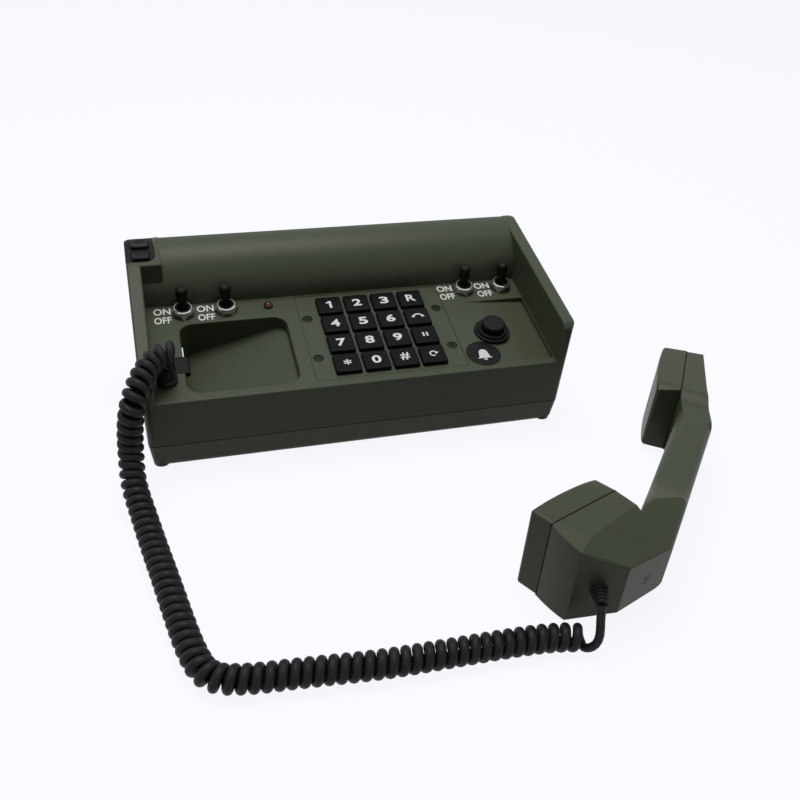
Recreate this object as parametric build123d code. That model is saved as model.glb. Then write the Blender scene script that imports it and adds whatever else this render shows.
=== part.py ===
"""Field telephone: a sloping-panel base unit with a 4 x 4 keypad, toggle switches and line
terminals, a handset lying on its side in front of it, and a coiled cord between them.

Millimetres, +Z up.  The origin is under the middle of the base and the handset, on the table.
Base pieces are modelled about the middle of the base's width (x) with y to the back; what sits on
the sloping panel is placed by x, by s (distance up the panel from its front edge) and by h (height
above the panel).  Handset pieces are modelled in (l, d, w): along the handle, towards the faces,
and across its thickness.
"""
import math
import os

from build123d import *

# ------------------------------------------------------------------ placing in the common frame
BASE_X = -43.335
BASE_Y = 83.265

# ------------------------------------------------------------------ base housing
BASE_WIDTH = 245.0          # at the front edge of the panel
FRONT_Y = -57.7
BACK_Y = 51.0
WALL_DRAFT = 0.022          # the walls lean out by this much per mm of height
CORNER_R = 4.0
WALL = 3.0
PANEL_FRONT_Z = 47.5
PANEL_TILT = 9.05           # degrees
PANEL_LENGTH = 80.2
PANEL_THICK = 3.5
TOP_Z = 90.4
HOOD_R = 27.3
PARTING_Z = 18.1
CHEEK_THICK = 6.8
CHEEK_RISE = 25.8           # right cheek above the panel
CHEEK_FRONT_R = 6.0
LEFT_WALL_THICK = 7.2
LEFT_WALL_FRONT_Z = 53.6    # top of the low left wall at the front face
TOP_EDGE_R = 1.2            # along the tops of the cheeks and the boss
HOOD_BACK_R = 2.2
PANEL_EDGE_R = 0.8
SHADOW_GAP = 0.5            # groove along the parting line and round the handset's caps

# lower tray
TRAY_WALL = 2.5
TRAY_TAPER = 2.4
TRAY_BOTTOM_Z = 1.5
TRAY_EDGE_R = 5.0
LIP_HEIGHT = 2.0
LIP_THICK = 1.2
FIT = 0.2                   # clearance between fixed pieces
TOUCH = 0.05                # clearance where pieces seat on each other
SLIDE_FIT = 0.3             # clearance round what moves

# corner boss and line terminals
BOSS_RIGHT_X = -103.6
BOSS_FRONT_Y = 24.0
BOSS_RIM = 3.0
BOSS_FLAT = 4.0             # level part of its top, at the back
BOSS_INNER_R = 5.0
TERMINAL_FLOOR_Z = 72.0
TERMINAL_CAP_TALL = 8.0
TERMINAL_CAP_STAND = 0.4    # above the rim
TERMINAL_BLOCK_DROP = 0.8   # below the rim
TERMINAL_CAP = (10.0, 8.8)
TERMINAL_PITCH = 11.0
TERMINAL_TRAVEL = 3.5
TERMINAL_PIN_R = 1.6

# handset cradle in the panel
RECESS_X = (-98.0, -36.0)
RECESS_S = (6.0, 62.5)
RECESS_R = 8.0
RECESS_DEEP = 25.0          # at the left end
RECESS_SHALLOW = 7.0        # at the right end
RECESS_WALL = 2.5
REST_X = (76.4, 115.2)      # shallow receiver rest at the right
REST_S = (4.5, 60.5)
REST_DEPTH = 3.1

# keypad
PLATE_X = (-27.8, 62.2)
PLATE_S = (5.2, 78.6)
PLATE_THICK = 2.0
PLATE_R = 1.5
KEY_PITCH = 17.0
KEY_SIZE = (14.9, 14.5)
KEY_HEIGHT = 2.6            # above the panel
KEY_FLANGE = 0.6
KEY_FLANGE_THICK = 1.0
KEY_TRAVEL = 1.5
KEY_EDGE_R = 0.9
KEY_GAP = 0.2
KEYPAD_CENTRE = (17.2, 40.8)
MAT_THICK = 1.0
DOME_HEIGHT = 0.5
BOARD_THICK = 1.6
PLATE_SCREW_X = 40.2        # half spacing
PLATE_SCREW_S = 17.2        # half spacing
PLATE_SCREW_CENTRE = (16.9, 40.4)
KEY_NAMES = (
    ("star", "0", "hash", "redial"),
    ("7", "8", "9", "pause"),
    ("4", "5", "6", "hangup"),
    ("1", "2", "3", "recall"),
)

# toggle switches
TOGGLE_X = (-94.3, -69.3, 79.7, 104.7)
TOGGLE_S = 72.6
BUSH_OD = 11.3
BUSH_ID = 9.6
BUSH_HEIGHT = 4.6
NUT_AF = 12.6
NUT_HEIGHT = 2.6
NUT_TURNS = (90, 60, 90, 60)
SWITCH_BODY = (12.8, 12.8, 10.0)
LEVER_NECK_R = 2.4
LEVER_TIP_R = 3.4
LEVER_TOP = 17.5
PIVOT_DEPTH = 1.0
LEVER_SWING = 12.0          # each way from upright

# ring button, label disc, lamp
RING_AT = (85.0, 31.5)
RING_SEAT = 0.9
BEZEL_R = 10.8
BEZEL_THICK = 2.4
COLLAR_R = 9.0
COLLAR_HEIGHT = 3.0
RING_CAP_R = 7.0
RING_CAP_TOP = 7.6
RING_TRAVEL = 3.0
DISC_AT = (73.8, 13.5)
DISC_R = 10.3
DISC_SINK = 0.9
DISC_THICK = 0.7
LAMP_AT = (-44.3, 72.5)
LAMP_R = 2.75

# hook switch
HOOK_SLOT_X = (-104.2, -97.9)
HOOK_SLOT_S = (21.8, 35.2)
HOOK_REACH = 3.0
HOOK_THICK = 3.0
HOOK_PIN_R = 1.0
HOOK_HUB_R = 1.4
HOOK_PIVOT = (1.6, -1.6)    # from the slot's end, and from the panel's face
HOOK_PIN_END = 1.5          # past each side of the slot
STRIP_S = (35.9, 43.5)

# cord entry on the panel
GLAND_AT = (-108.0, 17.0)
GLAND_R = 5.8
GLAND_TOP_R = 3.6
GLAND_HEIGHT = 9.0
GLAND_NECK_R = 3.9
GLAND_FLANGE = 1.8          # under the panel
GLAND_FLANGE_THICK = 2.45
WIRE_R = 2.1
COIL_R = 7.0

# inside
SCREW_R = 1.45
SCREW_HEAD_R = 2.9
SCREW_HEAD_THICK = 2.0
COLUMN_R = 4.5
COLUMN_X = 115.5
COLUMN_Y = (-51.0, 44.5)
HOUSING_SCREW_TOP_Z = 32.0
HEAD_SEAT_Z = 9.0
FOOT_R = 7.0
FOOT_THICK = 3.0
FOOT_X = 104.0
FOOT_Y = (-35.0, 30.0)
CELL_R = 7.1
CELL_LENGTH = 50.0
CELL_COUNT = 4
CELL_PITCH = 14.8
BATTERY_AT = (-67.0, -17.0)
BATTERY_WALL = 2.0
CONTACT_THICK = 0.5
COVER_THICK = 2.0
COVER_GRIP = 18.0           # length of its finger grooves
MAIN_BOARD = (118.0, 60.0)
MAIN_BOARD_AT = (38.0, -20.0)
MAIN_BOARD_Z = 12.0
BOARD_PARTS = (             # from the board's middle, and their sizes
    ((-8, 2), (18, 16, 12)),
    ((17, 0), (9, 20, 2.5)),
    ((-33, 10), (20, 8, 3)),
    ((37, -10), (7, 7, 8)),
)
RINGER_AT = (-70.0, 31.0)
RINGER_R = 13.0
RINGER_HEIGHT = 10.0

# ------------------------------------------------------------------ handset
HANDSET_AT = (115.0, -202.3)      # the corner between its back and its lower end facet
HANDSET_TURN = 49.0               # degrees from +X
TRANSMITTER_W = 49.5
END_TAPER = 1.75                  # each side, towards the transmitter's outer end
HANDLE_W = 39.0
RECEIVER_W = 45.2
BACK_EDGE_W = 27.6                # across the end facet where it meets the back
END_EDGE_W = 30.7
HANDLE_D = 19.8
HANDLE_EDGE_R = 5.0
FACET_EDGE_R = 1.2
CAP_EDGE_R = 1.8
FACE_BULGE = 1.4
CAPSULE_R = 17.0
CAPSULE_FIT = 0.4
TRANSMITTER_CAPSULE_THICK = 12.0
RECEIVER_CAPSULE_THICK = 9.0
SOUND_HOLE_R = 1.1
HANDSET_GLAND_AT = (-31.0, 25.5)
HANDSET_GLAND_LENGTH = 9.0
HANDSET_GLAND_R = 4.4
HANDSET_GLAND_TOP_R = 2.9
HANDSET_GLAND_NECK_R = 2.5
RIB_PITCH = 1.8             # both glands
RIB_DEPTH = 0.5

HALF_WIDTH = BASE_WIDTH / 2
PANEL_SIN = math.sin(math.radians(PANEL_TILT))
PANEL_COS = math.cos(math.radians(PANEL_TILT))
PANEL_BACK_Y = FRONT_Y + PANEL_LENGTH * PANEL_COS
PANEL_BACK_Z = PANEL_FRONT_Z + PANEL_LENGTH * PANEL_SIN
PANEL = Plane(origin=(0, FRONT_Y, PANEL_FRONT_Z), x_dir=(1, 0, 0), z_dir=(0, -PANEL_SIN, PANEL_COS))
FAR = 200.0                       # past every outline


def on_panel(x, s, h=0.0):
    """A place on the panel: x across, s up the slope, h above it."""
    return PANEL.location * Pos(x, s, h)


def column(radius, low, high):
    """A cylinder about the local axis from one height to another."""
    return Pos(0, 0, (low + high) / 2) * Cylinder(radius, high - low)


def block(x, y, z):
    """A box from three (low, high) pairs."""
    centre = Pos((x[0] + x[1]) / 2, (y[0] + y[1]) / 2, (z[0] + z[1]) / 2)
    return centre * Box(x[1] - x[0], y[1] - y[0], z[1] - z[0])


def rounded_block(x, y, z, radius):
    """A box with its four upright edges rounded."""
    outline = RectangleRounded(x[1] - x[0], y[1] - y[0], radius)
    return Pos((x[0] + x[1]) / 2, (y[0] + y[1]) / 2, z[0]) * extrude(outline, z[1] - z[0])


def across(points, x_low, x_high):
    """A side profile of (y, z) points pulled straight across the base."""
    face = make_face(Plane.YZ * Polyline(*points, close=True))
    return Pos(x_low, 0, 0) * extrude(face, x_high - x_low, dir=(1, 0, 0))


# ------------------------------------------------------------------ housing shells
def plan_outline(z, inset=0.0):
    """The base's outline at one height, with the walls' draft."""
    grow = WALL_DRAFT * (z - PANEL_FRONT_Z) - inset
    width = BASE_WIDTH + 2 * grow
    depth = BACK_Y - FRONT_Y + 2 * grow
    corner = max(CORNER_R - inset, 1.0)
    return Pos(0, (BACK_Y + FRONT_Y) / 2, z) * RectangleRounded(width, depth, corner)


def wall_block(low, high, inset=0.0):
    """The drafted block that all four outer walls lie on."""
    return loft([plan_outline(low, inset), plan_outline(high, inset)])


def side_profile(skin=0.0):
    """Front face, sloping panel, hood and back, or the same a skin's thickness inside."""
    hood_r = HOOD_R - skin
    hood_y = PANEL_BACK_Y + HOOD_R
    hood_z = TOP_Z - HOOD_R
    foot_y = hood_y - hood_r
    panel_drop = skin * PANEL_THICK / WALL / PANEL_COS if skin else 0.0
    foot_z = PANEL_FRONT_Z + (foot_y - FRONT_Y) * PANEL_SIN / PANEL_COS - panel_drop
    front_z = PANEL_FRONT_Z - (FAR * PANEL_SIN / PANEL_COS) - panel_drop
    start = (FRONT_Y - FAR, front_z)
    low_back = (FAR, -FAR)
    low_front = (FRONT_Y - FAR, -FAR)
    middle = (hood_y - hood_r * math.sqrt(0.5), hood_z + hood_r * math.sqrt(0.5))
    lines = [
        Line(start, (foot_y, foot_z)),
        Line((foot_y, foot_z), (foot_y, hood_z)),
        ThreePointArc((foot_y, hood_z), middle, (hood_y, TOP_Z - skin)),
        Line((hood_y, TOP_Z - skin), (FAR, TOP_Z - skin)),
        Line((FAR, TOP_Z - skin), low_back),
        Line(low_back, low_front),
        Line(low_front, start),
    ]
    face = make_face(Plane.YZ * Wire(lines))
    return Pos(-FAR, 0, 0) * extrude(face, 2 * FAR, dir=(1, 0, 0))


def cheek_top_z(y):
    """Top of the right cheek, parallel to the panel."""
    rise = (CHEEK_RISE + (y - FRONT_Y) * PANEL_SIN) / PANEL_COS
    return min(PANEL_FRONT_Z + rise, TOP_Z)


def right_cheek():
    """The tall right side wall, with its rounded front top corner."""
    front = FRONT_Y - WALL_DRAFT * CHEEK_RISE - 0.3
    top_y = FRONT_Y + (TOP_Z - cheek_top_z(FRONT_Y)) / (PANEL_SIN / PANEL_COS)
    points = [(front, PARTING_Z), (front, cheek_top_z(front)), (top_y, TOP_Z), (FAR, TOP_Z), (FAR, PARTING_Z)]
    face = make_face(Plane.YZ * Polyline(*points, close=True))
    corner = face.vertices().sort_by_distance((0, front, cheek_top_z(front)))[0]
    face = fillet(corner, CHEEK_FRONT_R)
    return Pos(HALF_WIDTH - CHEEK_THICK, 0, 0) * extrude(face, FAR, dir=(1, 0, 0))


def side_piece(outline, hidden_y=FAR):
    """A side wall cut to the outer walls, rounded round its top and down its inner front edge."""
    body = wall_block(PARTING_Z, TOP_Z + 1) & outline
    tops = [face for face in body.faces() if face.normal_at().Z > 0.2]
    edges = [edge for face in tops for edge in face.edges()]
    rim = [edge for edge in edges if edges.count(edge) == 1 and edge.center().Y < hidden_y]
    inner = body.faces().sort_by(lambda face: abs(face.center().X))[0]
    rim.append(inner.edges().sort_by(Axis.Y)[0])
    return fillet(rim, TOP_EDGE_R)


def left_wall():
    """The low left side wall, which falls from the corner boss to the front."""
    front = FRONT_Y - 1.0
    high = cheek_top_z(BOSS_FRONT_Y)
    back = BOSS_FRONT_Y + 1
    points = [(front, PARTING_Z), (front, LEFT_WALL_FRONT_Z), (back, high), (back, PARTING_Z)]
    return across(points, -FAR, -HALF_WIDTH + LEFT_WALL_THICK)


def corner_boss():
    """The raised corner that holds the line terminals."""
    front = BOSS_FRONT_Y
    slope = [(front, PARTING_Z), (front, cheek_top_z(front)), (BACK_Y - BOSS_FLAT, TOP_Z)]
    return across(slope + [(FAR, TOP_Z), (FAR, PARTING_Z)], -FAR, BOSS_RIGHT_X)


def terminal_pocket(gap=0.0):
    """The space in the corner boss, open to the left, the back and the top."""
    x = (-FAR, BOSS_RIGHT_X - BOSS_RIM - gap)
    y = (BOSS_FRONT_Y + BOSS_RIM + gap, FAR)
    return rounded_block(x, y, (TERMINAL_FLOOR_Z + gap, FAR), BOSS_INNER_R)


def cavity():
    """The inside of the upper housing, open at the parting line."""
    room = wall_block(PARTING_Z - 10, TOP_Z + 10, WALL) & side_profile(WALL)
    keep = block((-FAR, BOSS_RIGHT_X + WALL), (BOSS_FRONT_Y - WALL, FAR), (TERMINAL_FLOOR_Z - WALL, FAR))
    room -= keep
    for x, y in column_places():
        top = PANEL_FRONT_Z - 1 if y < 0 else PANEL_BACK_Z
        room -= corner_column(x, y, PARTING_Z, top)
    room -= recess_tool(RECESS_WALL)
    for x, s in plate_screw_places():
        room -= on_panel(x, s) * column(SCREW_HEAD_R + 0.6, board_top(), 0)
    return room


def board_top():
    """Height of the keypad board's upper face from the panel."""
    return -PLATE_THICK - KEY_FLANGE_THICK - KEY_TRAVEL - DOME_HEIGHT - MAT_THICK - 2 * FIT


def recess_tool(wall=0.0):
    """The handset cradle's space, or with a wall the shell round it."""
    x = (RECESS_X[0] - wall, RECESS_X[1] + wall)
    s = (RECESS_S[0] - wall, RECESS_S[1] + wall)
    tall = rounded_block(x, s, (-FAR / 2, FAR / 20 if not wall else -0.5), RECESS_R + wall)
    run = RECESS_X[1] - RECESS_X[0]
    slope = (RECESS_DEEP - RECESS_SHALLOW) / run
    left = (RECESS_X[0] - 10, -RECESS_DEEP - wall - 10 * slope)
    right = (RECESS_X[1] + 10, -RECESS_SHALLOW - wall + 10 * slope)
    floor = make_face(Plane.XZ * Polyline(left, right, (right[0], FAR / 10), (left[0], FAR / 10), close=True))
    above_floor = extrude(floor, FAR, both=True)
    return PANEL.location * (tall & above_floor)


def receiver_rest():
    """A shallow ramp that falls away to the right, behind a front rim."""
    points = [(REST_X[0], 0), (REST_X[1], -REST_DEPTH), (REST_X[1], 5), (REST_X[0], 5)]
    face = make_face(Plane.XZ * Polyline(*points, close=True))
    ramp = Pos(0, REST_S[1], 0) * extrude(face, REST_S[1] - REST_S[0])
    return PANEL.location * ramp


def key_centre(column_index, row_index):
    """Middle of one key on the panel."""
    x = KEYPAD_CENTRE[0] + (column_index - 1.5) * KEY_PITCH
    s = KEYPAD_CENTRE[1] + (row_index - 1.5) * KEY_PITCH
    return x, s


def plate_screw_places():
    """The four screws of the keypad plate."""
    return [
        (PLATE_SCREW_CENTRE[0] + i * PLATE_SCREW_X, PLATE_SCREW_CENTRE[1] + j * PLATE_SCREW_S)
        for i in (-1, 1)
        for j in (-1, 1)
    ]


def keypad_window():
    """The hole through the panel under the keys."""
    half_x = 1.5 * KEY_PITCH + KEY_SIZE[0] / 2 + KEY_FLANGE + 1.0
    half_s = 1.5 * KEY_PITCH + KEY_SIZE[1] / 2 + KEY_FLANGE + 0.4
    x = (KEYPAD_CENTRE[0] - half_x, KEYPAD_CENTRE[0] + half_x)
    s = (KEYPAD_CENTRE[1] - half_s, KEYPAD_CENTRE[1] + half_s)
    return PANEL.location * rounded_block(x, s, (-PANEL_THICK - 1, 1), 2.0)


def column_places():
    """The four corner columns that the housing screws run up."""
    return [(i * COLUMN_X, y) for i in (-1, 1) for y in COLUMN_Y]


def corner_column(x, y, low, high, grow=0.0):
    """A column together with the solid corner behind it."""
    out_x = sorted((x, math.copysign(BASE_WIDTH, x)))
    out_y = sorted((y, math.copysign(BASE_WIDTH, y)))
    post = Pos(x, y, 0) * column(COLUMN_R + grow, low, high)
    side = block(out_x, (y - COLUMN_R - grow, y + COLUMN_R + grow), (low, high))
    end = block((x - COLUMN_R - grow, x + COLUMN_R + grow), out_y, (low, high))
    return post + side + end + block(out_x, out_y, (low, high))


def middle_piece():
    """Front, panel, hood and back between the side walls, with the cradle sunk in the panel."""
    half = HALF_WIDTH - CORNER_R - 1.5
    body = wall_block(PARTING_Z, TOP_Z + 1) & side_profile() & block((-half, half), (-FAR, FAR), (0, FAR))
    long_edges = [edge for edge in body.edges() if edge.length > BASE_WIDTH * 0.9]
    hood_back = [edge for edge in long_edges if edge.center().Z > TOP_Z - 0.1 and edge.center().Y > BACK_Y]
    body = fillet(hood_back, HOOD_BACK_R)
    front = Vector(0, FRONT_Y, PANEL_FRONT_Z)
    panel_front = [edge for edge in body.edges() if (edge.center() - front).length < 0.1]
    body = fillet(panel_front, PANEL_EDGE_R)
    body -= recess_tool()
    rim = [edge for edge in body.edges() if is_recess_rim(edge)]
    return fillet(rim, PANEL_EDGE_R)


def is_recess_rim(edge):
    """Whether an edge lies where the cradle's walls meet the panel."""
    places = [(PANEL.location.inverse() * Location(tuple(edge @ t))).position for t in (0, 0.5, 1)]
    inside_x = all(RECESS_X[0] - 0.1 < place.X < RECESS_X[1] + 0.1 for place in places)
    inside_s = all(RECESS_S[0] - 0.1 < place.Y < RECESS_S[1] + 0.1 for place in places)
    return inside_x and inside_s and all(abs(place.Z) < 0.01 for place in places)


def upper_housing():
    """The moulded upper shell with panel, hood, cheeks, cradle and corner boss."""
    body = middle_piece() + side_piece(right_cheek()) + side_piece(corner_boss())
    body += side_piece(left_wall(), BOSS_FRONT_Y)
    body -= cavity()
    body -= receiver_rest()
    gap = wall_block(PARTING_Z - 1, PARTING_Z + SHADOW_GAP)
    gap -= wall_block(PARTING_Z - 2, PARTING_Z + 2, SHADOW_GAP)
    body -= gap
    body -= terminal_pocket()
    plate = rounded_block(
        (PLATE_X[0] - FIT / 2, PLATE_X[1] + FIT / 2),
        (PLATE_S[0] - FIT / 2, PLATE_S[1] + FIT / 2),
        (-PLATE_THICK, 5),
        PLATE_R,
    )
    body -= PANEL.location * plate
    body -= keypad_window()
    for x, s in plate_screw_places():
        body -= on_panel(x, s) * column(SCREW_R + TOUCH, board_top() - 1, 1)
    for x in TOGGLE_X:
        body -= on_panel(x, TOGGLE_S) * column(BUSH_OD / 2 + FIT, -PANEL_THICK - 3, 3)
    body -= on_panel(*RING_AT) * column(BEZEL_R + FIT, -RING_SEAT, 5)
    body -= on_panel(*RING_AT) * column(COLLAR_R + FIT, -PANEL_THICK - 1, 1)
    body -= on_panel(*DISC_AT) * column(DISC_R + FIT, -DISC_SINK, 5)
    body -= on_panel(*LAMP_AT) * column(LAMP_R + FIT / 2, -PANEL_THICK - 1, 1)
    body -= on_panel(*GLAND_AT) * column(GLAND_NECK_R + FIT / 2, -PANEL_THICK - 1, 1)
    body -= PANEL.location * hook_slot()
    for x, y in column_places():
        body -= Pos(x, y, 0) * column(SCREW_R + TOUCH, PARTING_Z - 1, HOUSING_SCREW_TOP_Z + 1)
    return body


def tray_block(inset, low, high):
    """The lower tray's tapering block."""
    bottom = plan_outline(PARTING_Z, TRAY_TAPER * (PARTING_Z - low) / (PARTING_Z - TRAY_BOTTOM_Z) + inset)
    top = plan_outline(PARTING_Z, TRAY_TAPER * (PARTING_Z - high) / (PARTING_Z - TRAY_BOTTOM_Z) + inset)
    return loft([Pos(0, 0, low - PARTING_Z) * bottom, Pos(0, 0, high - PARTING_Z) * top])


def battery_room(grow=0.0):
    """Plan of the battery box: (x, y) pairs."""
    half_x = CELL_LENGTH / 2 + 3.0 + grow
    half_y = CELL_COUNT * CELL_PITCH / 2 + 0.4 + grow
    x = (BATTERY_AT[0] - half_x, BATTERY_AT[0] + half_x)
    y = (BATTERY_AT[1] - half_y, BATTERY_AT[1] + half_y)
    return x, y


def cell_z():
    """Height of the cells' axes above the table."""
    return TRAY_BOTTOM_Z + COVER_THICK + CELL_R + FIT


def foot_places():
    """The four rubber feet."""
    return [(i * FOOT_X, y) for i in (-1, 1) for y in FOOT_Y]


def board_post_places():
    """The posts under the main board."""
    return [
        (MAIN_BOARD_AT[0] + i * (MAIN_BOARD[0] / 2 - 6), MAIN_BOARD_AT[1] + j * (MAIN_BOARD[1] / 2 - 6))
        for i in (-1, 1)
        for j in (-1, 1)
    ]


def lower_tray():
    """The moulded lower shell with battery box, screw tubes and a locating lip."""
    body = tray_block(0, TRAY_BOTTOM_Z, PARTING_Z)
    body = fillet(body.faces().sort_by(Axis.Z)[0].edges(), TRAY_EDGE_R)
    room = tray_block(TRAY_WALL, TRAY_BOTTOM_Z + TRAY_WALL, PARTING_Z + 1)
    body -= room
    lip_in = wall_block(PARTING_Z - 2 * LIP_HEIGHT - 1, PARTING_Z + LIP_HEIGHT + 1, WALL + FIT + LIP_THICK)
    lip = wall_block(PARTING_Z - 2 * LIP_HEIGHT, PARTING_Z + LIP_HEIGHT, WALL + FIT) - lip_in
    lip += wall_block(PARTING_Z - 2 * LIP_HEIGHT, PARTING_Z, TRAY_WALL * 0.6) - lip_in
    for x, y in column_places():
        lip -= corner_column(x, y, PARTING_Z, PARTING_Z + LIP_HEIGHT + 1, FIT)
    body += lip
    for x, y in column_places():
        body += Pos(x, y, 0) * column(COLUMN_R, TRAY_BOTTOM_Z + TRAY_WALL / 2, PARTING_Z)
    for x, y in board_post_places():
        body += Pos(x, y, 0) * column(SCREW_HEAD_R, TRAY_BOTTOM_Z + 1, MAIN_BOARD_Z)
    outer_x, outer_y = battery_room(BATTERY_WALL)
    ceiling = cell_z() + CELL_R + 0.4
    body += block(outer_x, outer_y, (TRAY_BOTTOM_Z, ceiling + BATTERY_WALL))
    inner_x, inner_y = battery_room()
    body -= block(inner_x, inner_y, (TRAY_BOTTOM_Z - 1, ceiling))
    cover_x, cover_y = battery_room(BATTERY_WALL / 2)
    body -= block(cover_x, cover_y, (TRAY_BOTTOM_Z - 1, TRAY_BOTTOM_Z + COVER_THICK))
    for x, y in column_places():
        body -= Pos(x, y, 0) * column(SCREW_R + 0.2, 0, PARTING_Z + 1)
        body -= Pos(x, y, 0) * column(SCREW_HEAD_R + 0.3, 0, HEAD_SEAT_Z)
    for x, y in board_post_places():
        body -= Pos(x, y, 0) * column(SCREW_R + TOUCH, TRAY_BOTTOM_Z + TRAY_WALL, MAIN_BOARD_Z + 1)
    for x, y in foot_places():
        body -= Pos(x, y, 0) * column(FOOT_R + FIT, 0, FOOT_THICK)
    return body


def screw(length, head_r=SCREW_HEAD_R, head=SCREW_HEAD_THICK):
    """A pan-head screw that points down from its head's seat, with a cross slot."""
    body = column(SCREW_R, -length, 0.1) + column(head_r, 0, head)
    top = body.edges().filter_by(GeomType.CIRCLE).sort_by(Axis.Z)[-1]
    body = chamfer(top, head * 0.3)
    slot = Box(head_r * 1.2, head_r * 0.3, head * 0.8)
    return body - Pos(0, 0, head) * (slot + Rot(0, 0, 90) * slot)


def housing_screws():
    """Four long screws up through the tray into the upper housing."""
    one = Pos(0, 0, HEAD_SEAT_Z) * Rot(180, 0, 0) * screw(HOUSING_SCREW_TOP_Z - HEAD_SEAT_Z)
    return [Pos(x, y, 0) * one for x, y in column_places()]


def rubber_feet():
    """Four stuck-in rubber feet."""
    foot = column(FOOT_R, 0, FOOT_THICK)
    foot = chamfer(foot.edges().sort_by(Axis.Z)[0], 0.5)
    return [Pos(x, y, 0) * foot for x, y in foot_places()]


# ------------------------------------------------------------------ keypad
def keypad_plate():
    """The flush moulded plate that frames the sixteen keys."""
    body = rounded_block(PLATE_X, PLATE_S, (-PLATE_THICK, 0), PLATE_R)
    body = chamfer(body.faces().sort_by(Axis.Z)[-1].edges(), 0.3)
    for i in range(4):
        for j in range(4):
            x, s = key_centre(i, j)
            width, depth = KEY_SIZE[0] + 2 * KEY_GAP, KEY_SIZE[1] + 2 * KEY_GAP
            hole = RectangleRounded(width, depth, KEY_EDGE_R + KEY_GAP)
            body -= Pos(x, s, -PLATE_THICK - 1) * extrude(hole, PLATE_THICK + 2)
    for x, s in plate_screw_places():
        body -= Pos(x, s, 0) * column(SCREW_R + 0.2, -PLATE_THICK - 1, 1)
        body -= Pos(x, s, 0) * column(SCREW_HEAD_R + 0.2, -PLATE_THICK / 2 - 0.2, 1)
    return PANEL.location * body


def keypad_screws():
    """Four countersunk-in screws of the keypad plate."""
    length = PLATE_THICK / 2 + KEY_FLANGE_THICK + KEY_TRAVEL
    one = Pos(0, 0, -PLATE_THICK / 2 - 0.2) * screw(length, SCREW_HEAD_R, 0.9)
    return [on_panel(x, s) * one for x, s in plate_screw_places()]


def key(column_index, row_index):
    """One key cap: a softly crowned button with a flange under the plate."""
    x, s = key_centre(column_index, row_index)
    under = -PLATE_THICK - TOUCH
    cap = extrude(RectangleRounded(*KEY_SIZE, KEY_EDGE_R), KEY_HEIGHT - under + 0.5)
    cap = Pos(0, 0, under - 0.5) * cap
    cap = fillet(cap.faces().sort_by(Axis.Z)[-1].edges(), KEY_EDGE_R * 0.8)
    flange = Box(KEY_SIZE[0] + 2 * KEY_FLANGE, KEY_SIZE[1] + 2 * KEY_FLANGE, KEY_FLANGE_THICK)
    body = cap + Pos(0, 0, under - KEY_FLANGE_THICK / 2) * flange
    return on_panel(x, s) * body


def keypad_mat():
    """The silicone mat with one dome under each key."""
    half_x = 1.5 * KEY_PITCH + KEY_SIZE[0] / 2
    half_s = 1.5 * KEY_PITCH + KEY_SIZE[1] / 2
    x = (KEYPAD_CENTRE[0] - half_x, KEYPAD_CENTRE[0] + half_x)
    s = (KEYPAD_CENTRE[1] - half_s, KEYPAD_CENTRE[1] + half_s)
    low = board_top()
    body = block(x, s, (low, low + MAT_THICK))
    dome = Cone(4.0, 2.6, DOME_HEIGHT + 0.1, align=(Align.CENTER, Align.CENTER, Align.MIN))
    for i in range(4):
        for j in range(4):
            cx, cs = key_centre(i, j)
            body += Pos(cx, cs, low + MAT_THICK - 0.1) * dome
    return PANEL.location * body


def keypad_board():
    """The contact board under the mat."""
    top = board_top()
    x = (PLATE_X[0] + 1.0, PLATE_X[1] - 1.0)
    s = (PLATE_S[0] + 1.5, PLATE_S[1] - 2.5)
    body = block(x, s, (top - BOARD_THICK, top))
    for px, ps in plate_screw_places():
        body -= Pos(px, ps, 0) * column(SCREW_R + 0.2, top - BOARD_THICK - 1, top + 1)
    return PANEL.location * body


# ------------------------------------------------------------------ toggles
def toggle_body():
    """One toggle switch under the panel: case, threaded bush and three solder tags."""
    low = -PANEL_THICK - 0.1
    case = Pos(0, 0, low - SWITCH_BODY[2] / 2) * Box(*SWITCH_BODY)
    case = chamfer(case.edges().filter_by(Axis.Z), 0.8)
    body = case + column(BUSH_OD / 2, low - 0.5, BUSH_HEIGHT)
    rim = body.edges().filter_by(GeomType.CIRCLE).sort_by(Axis.Z)[-1]
    body = chamfer(rim, 0.5)
    body -= column(BUSH_ID / 2, -PIVOT_DEPTH - 4.0, BUSH_HEIGHT + 1)
    for t in (-4.0, 0.0, 4.0):
        body += Pos(0, t, low - SWITCH_BODY[2] - 2.0) * Box(2.0, 0.8, 4.5)
    return body


def toggle_nut():
    """The hexagon nut on the bush."""
    hexagon = RegularPolygon(NUT_AF / 2, 6, major_radius=False, rotation=0)
    body = extrude(hexagon, NUT_HEIGHT)
    bottom = (Align.CENTER, Align.CENTER, Align.MIN)
    bevel = Cone(NUT_AF / 2 * 1.25, NUT_AF / 2 * 0.98, NUT_HEIGHT * 1.6, align=bottom)
    body &= Pos(0, 0, -NUT_HEIGHT * 0.6) * bevel
    return body - column(BUSH_OD / 2 + TOUCH, -1, NUT_HEIGHT + 1)


def toggle_lever():
    """The bat-shaped lever on its pivot ball, thrown to the back."""
    bottom = (Align.CENTER, Align.CENTER, Align.MIN)
    flare = BUSH_HEIGHT + PIVOT_DEPTH
    body = Sphere(LEVER_NECK_R + 0.8)
    body += column(LEVER_NECK_R, 0, flare + 0.1)
    body += Pos(0, 0, flare) * Cone(LEVER_NECK_R, LEVER_TIP_R, 4.0, align=bottom)
    tip = column(LEVER_TIP_R, flare + 4.0, LEVER_TOP)
    body += fillet(tip.edges().sort_by(Axis.Z)[-1], LEVER_TIP_R * 0.6)
    return Pos(0, 0, -PIVOT_DEPTH) * Rot(-LEVER_SWING, 0, 0) * body


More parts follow.
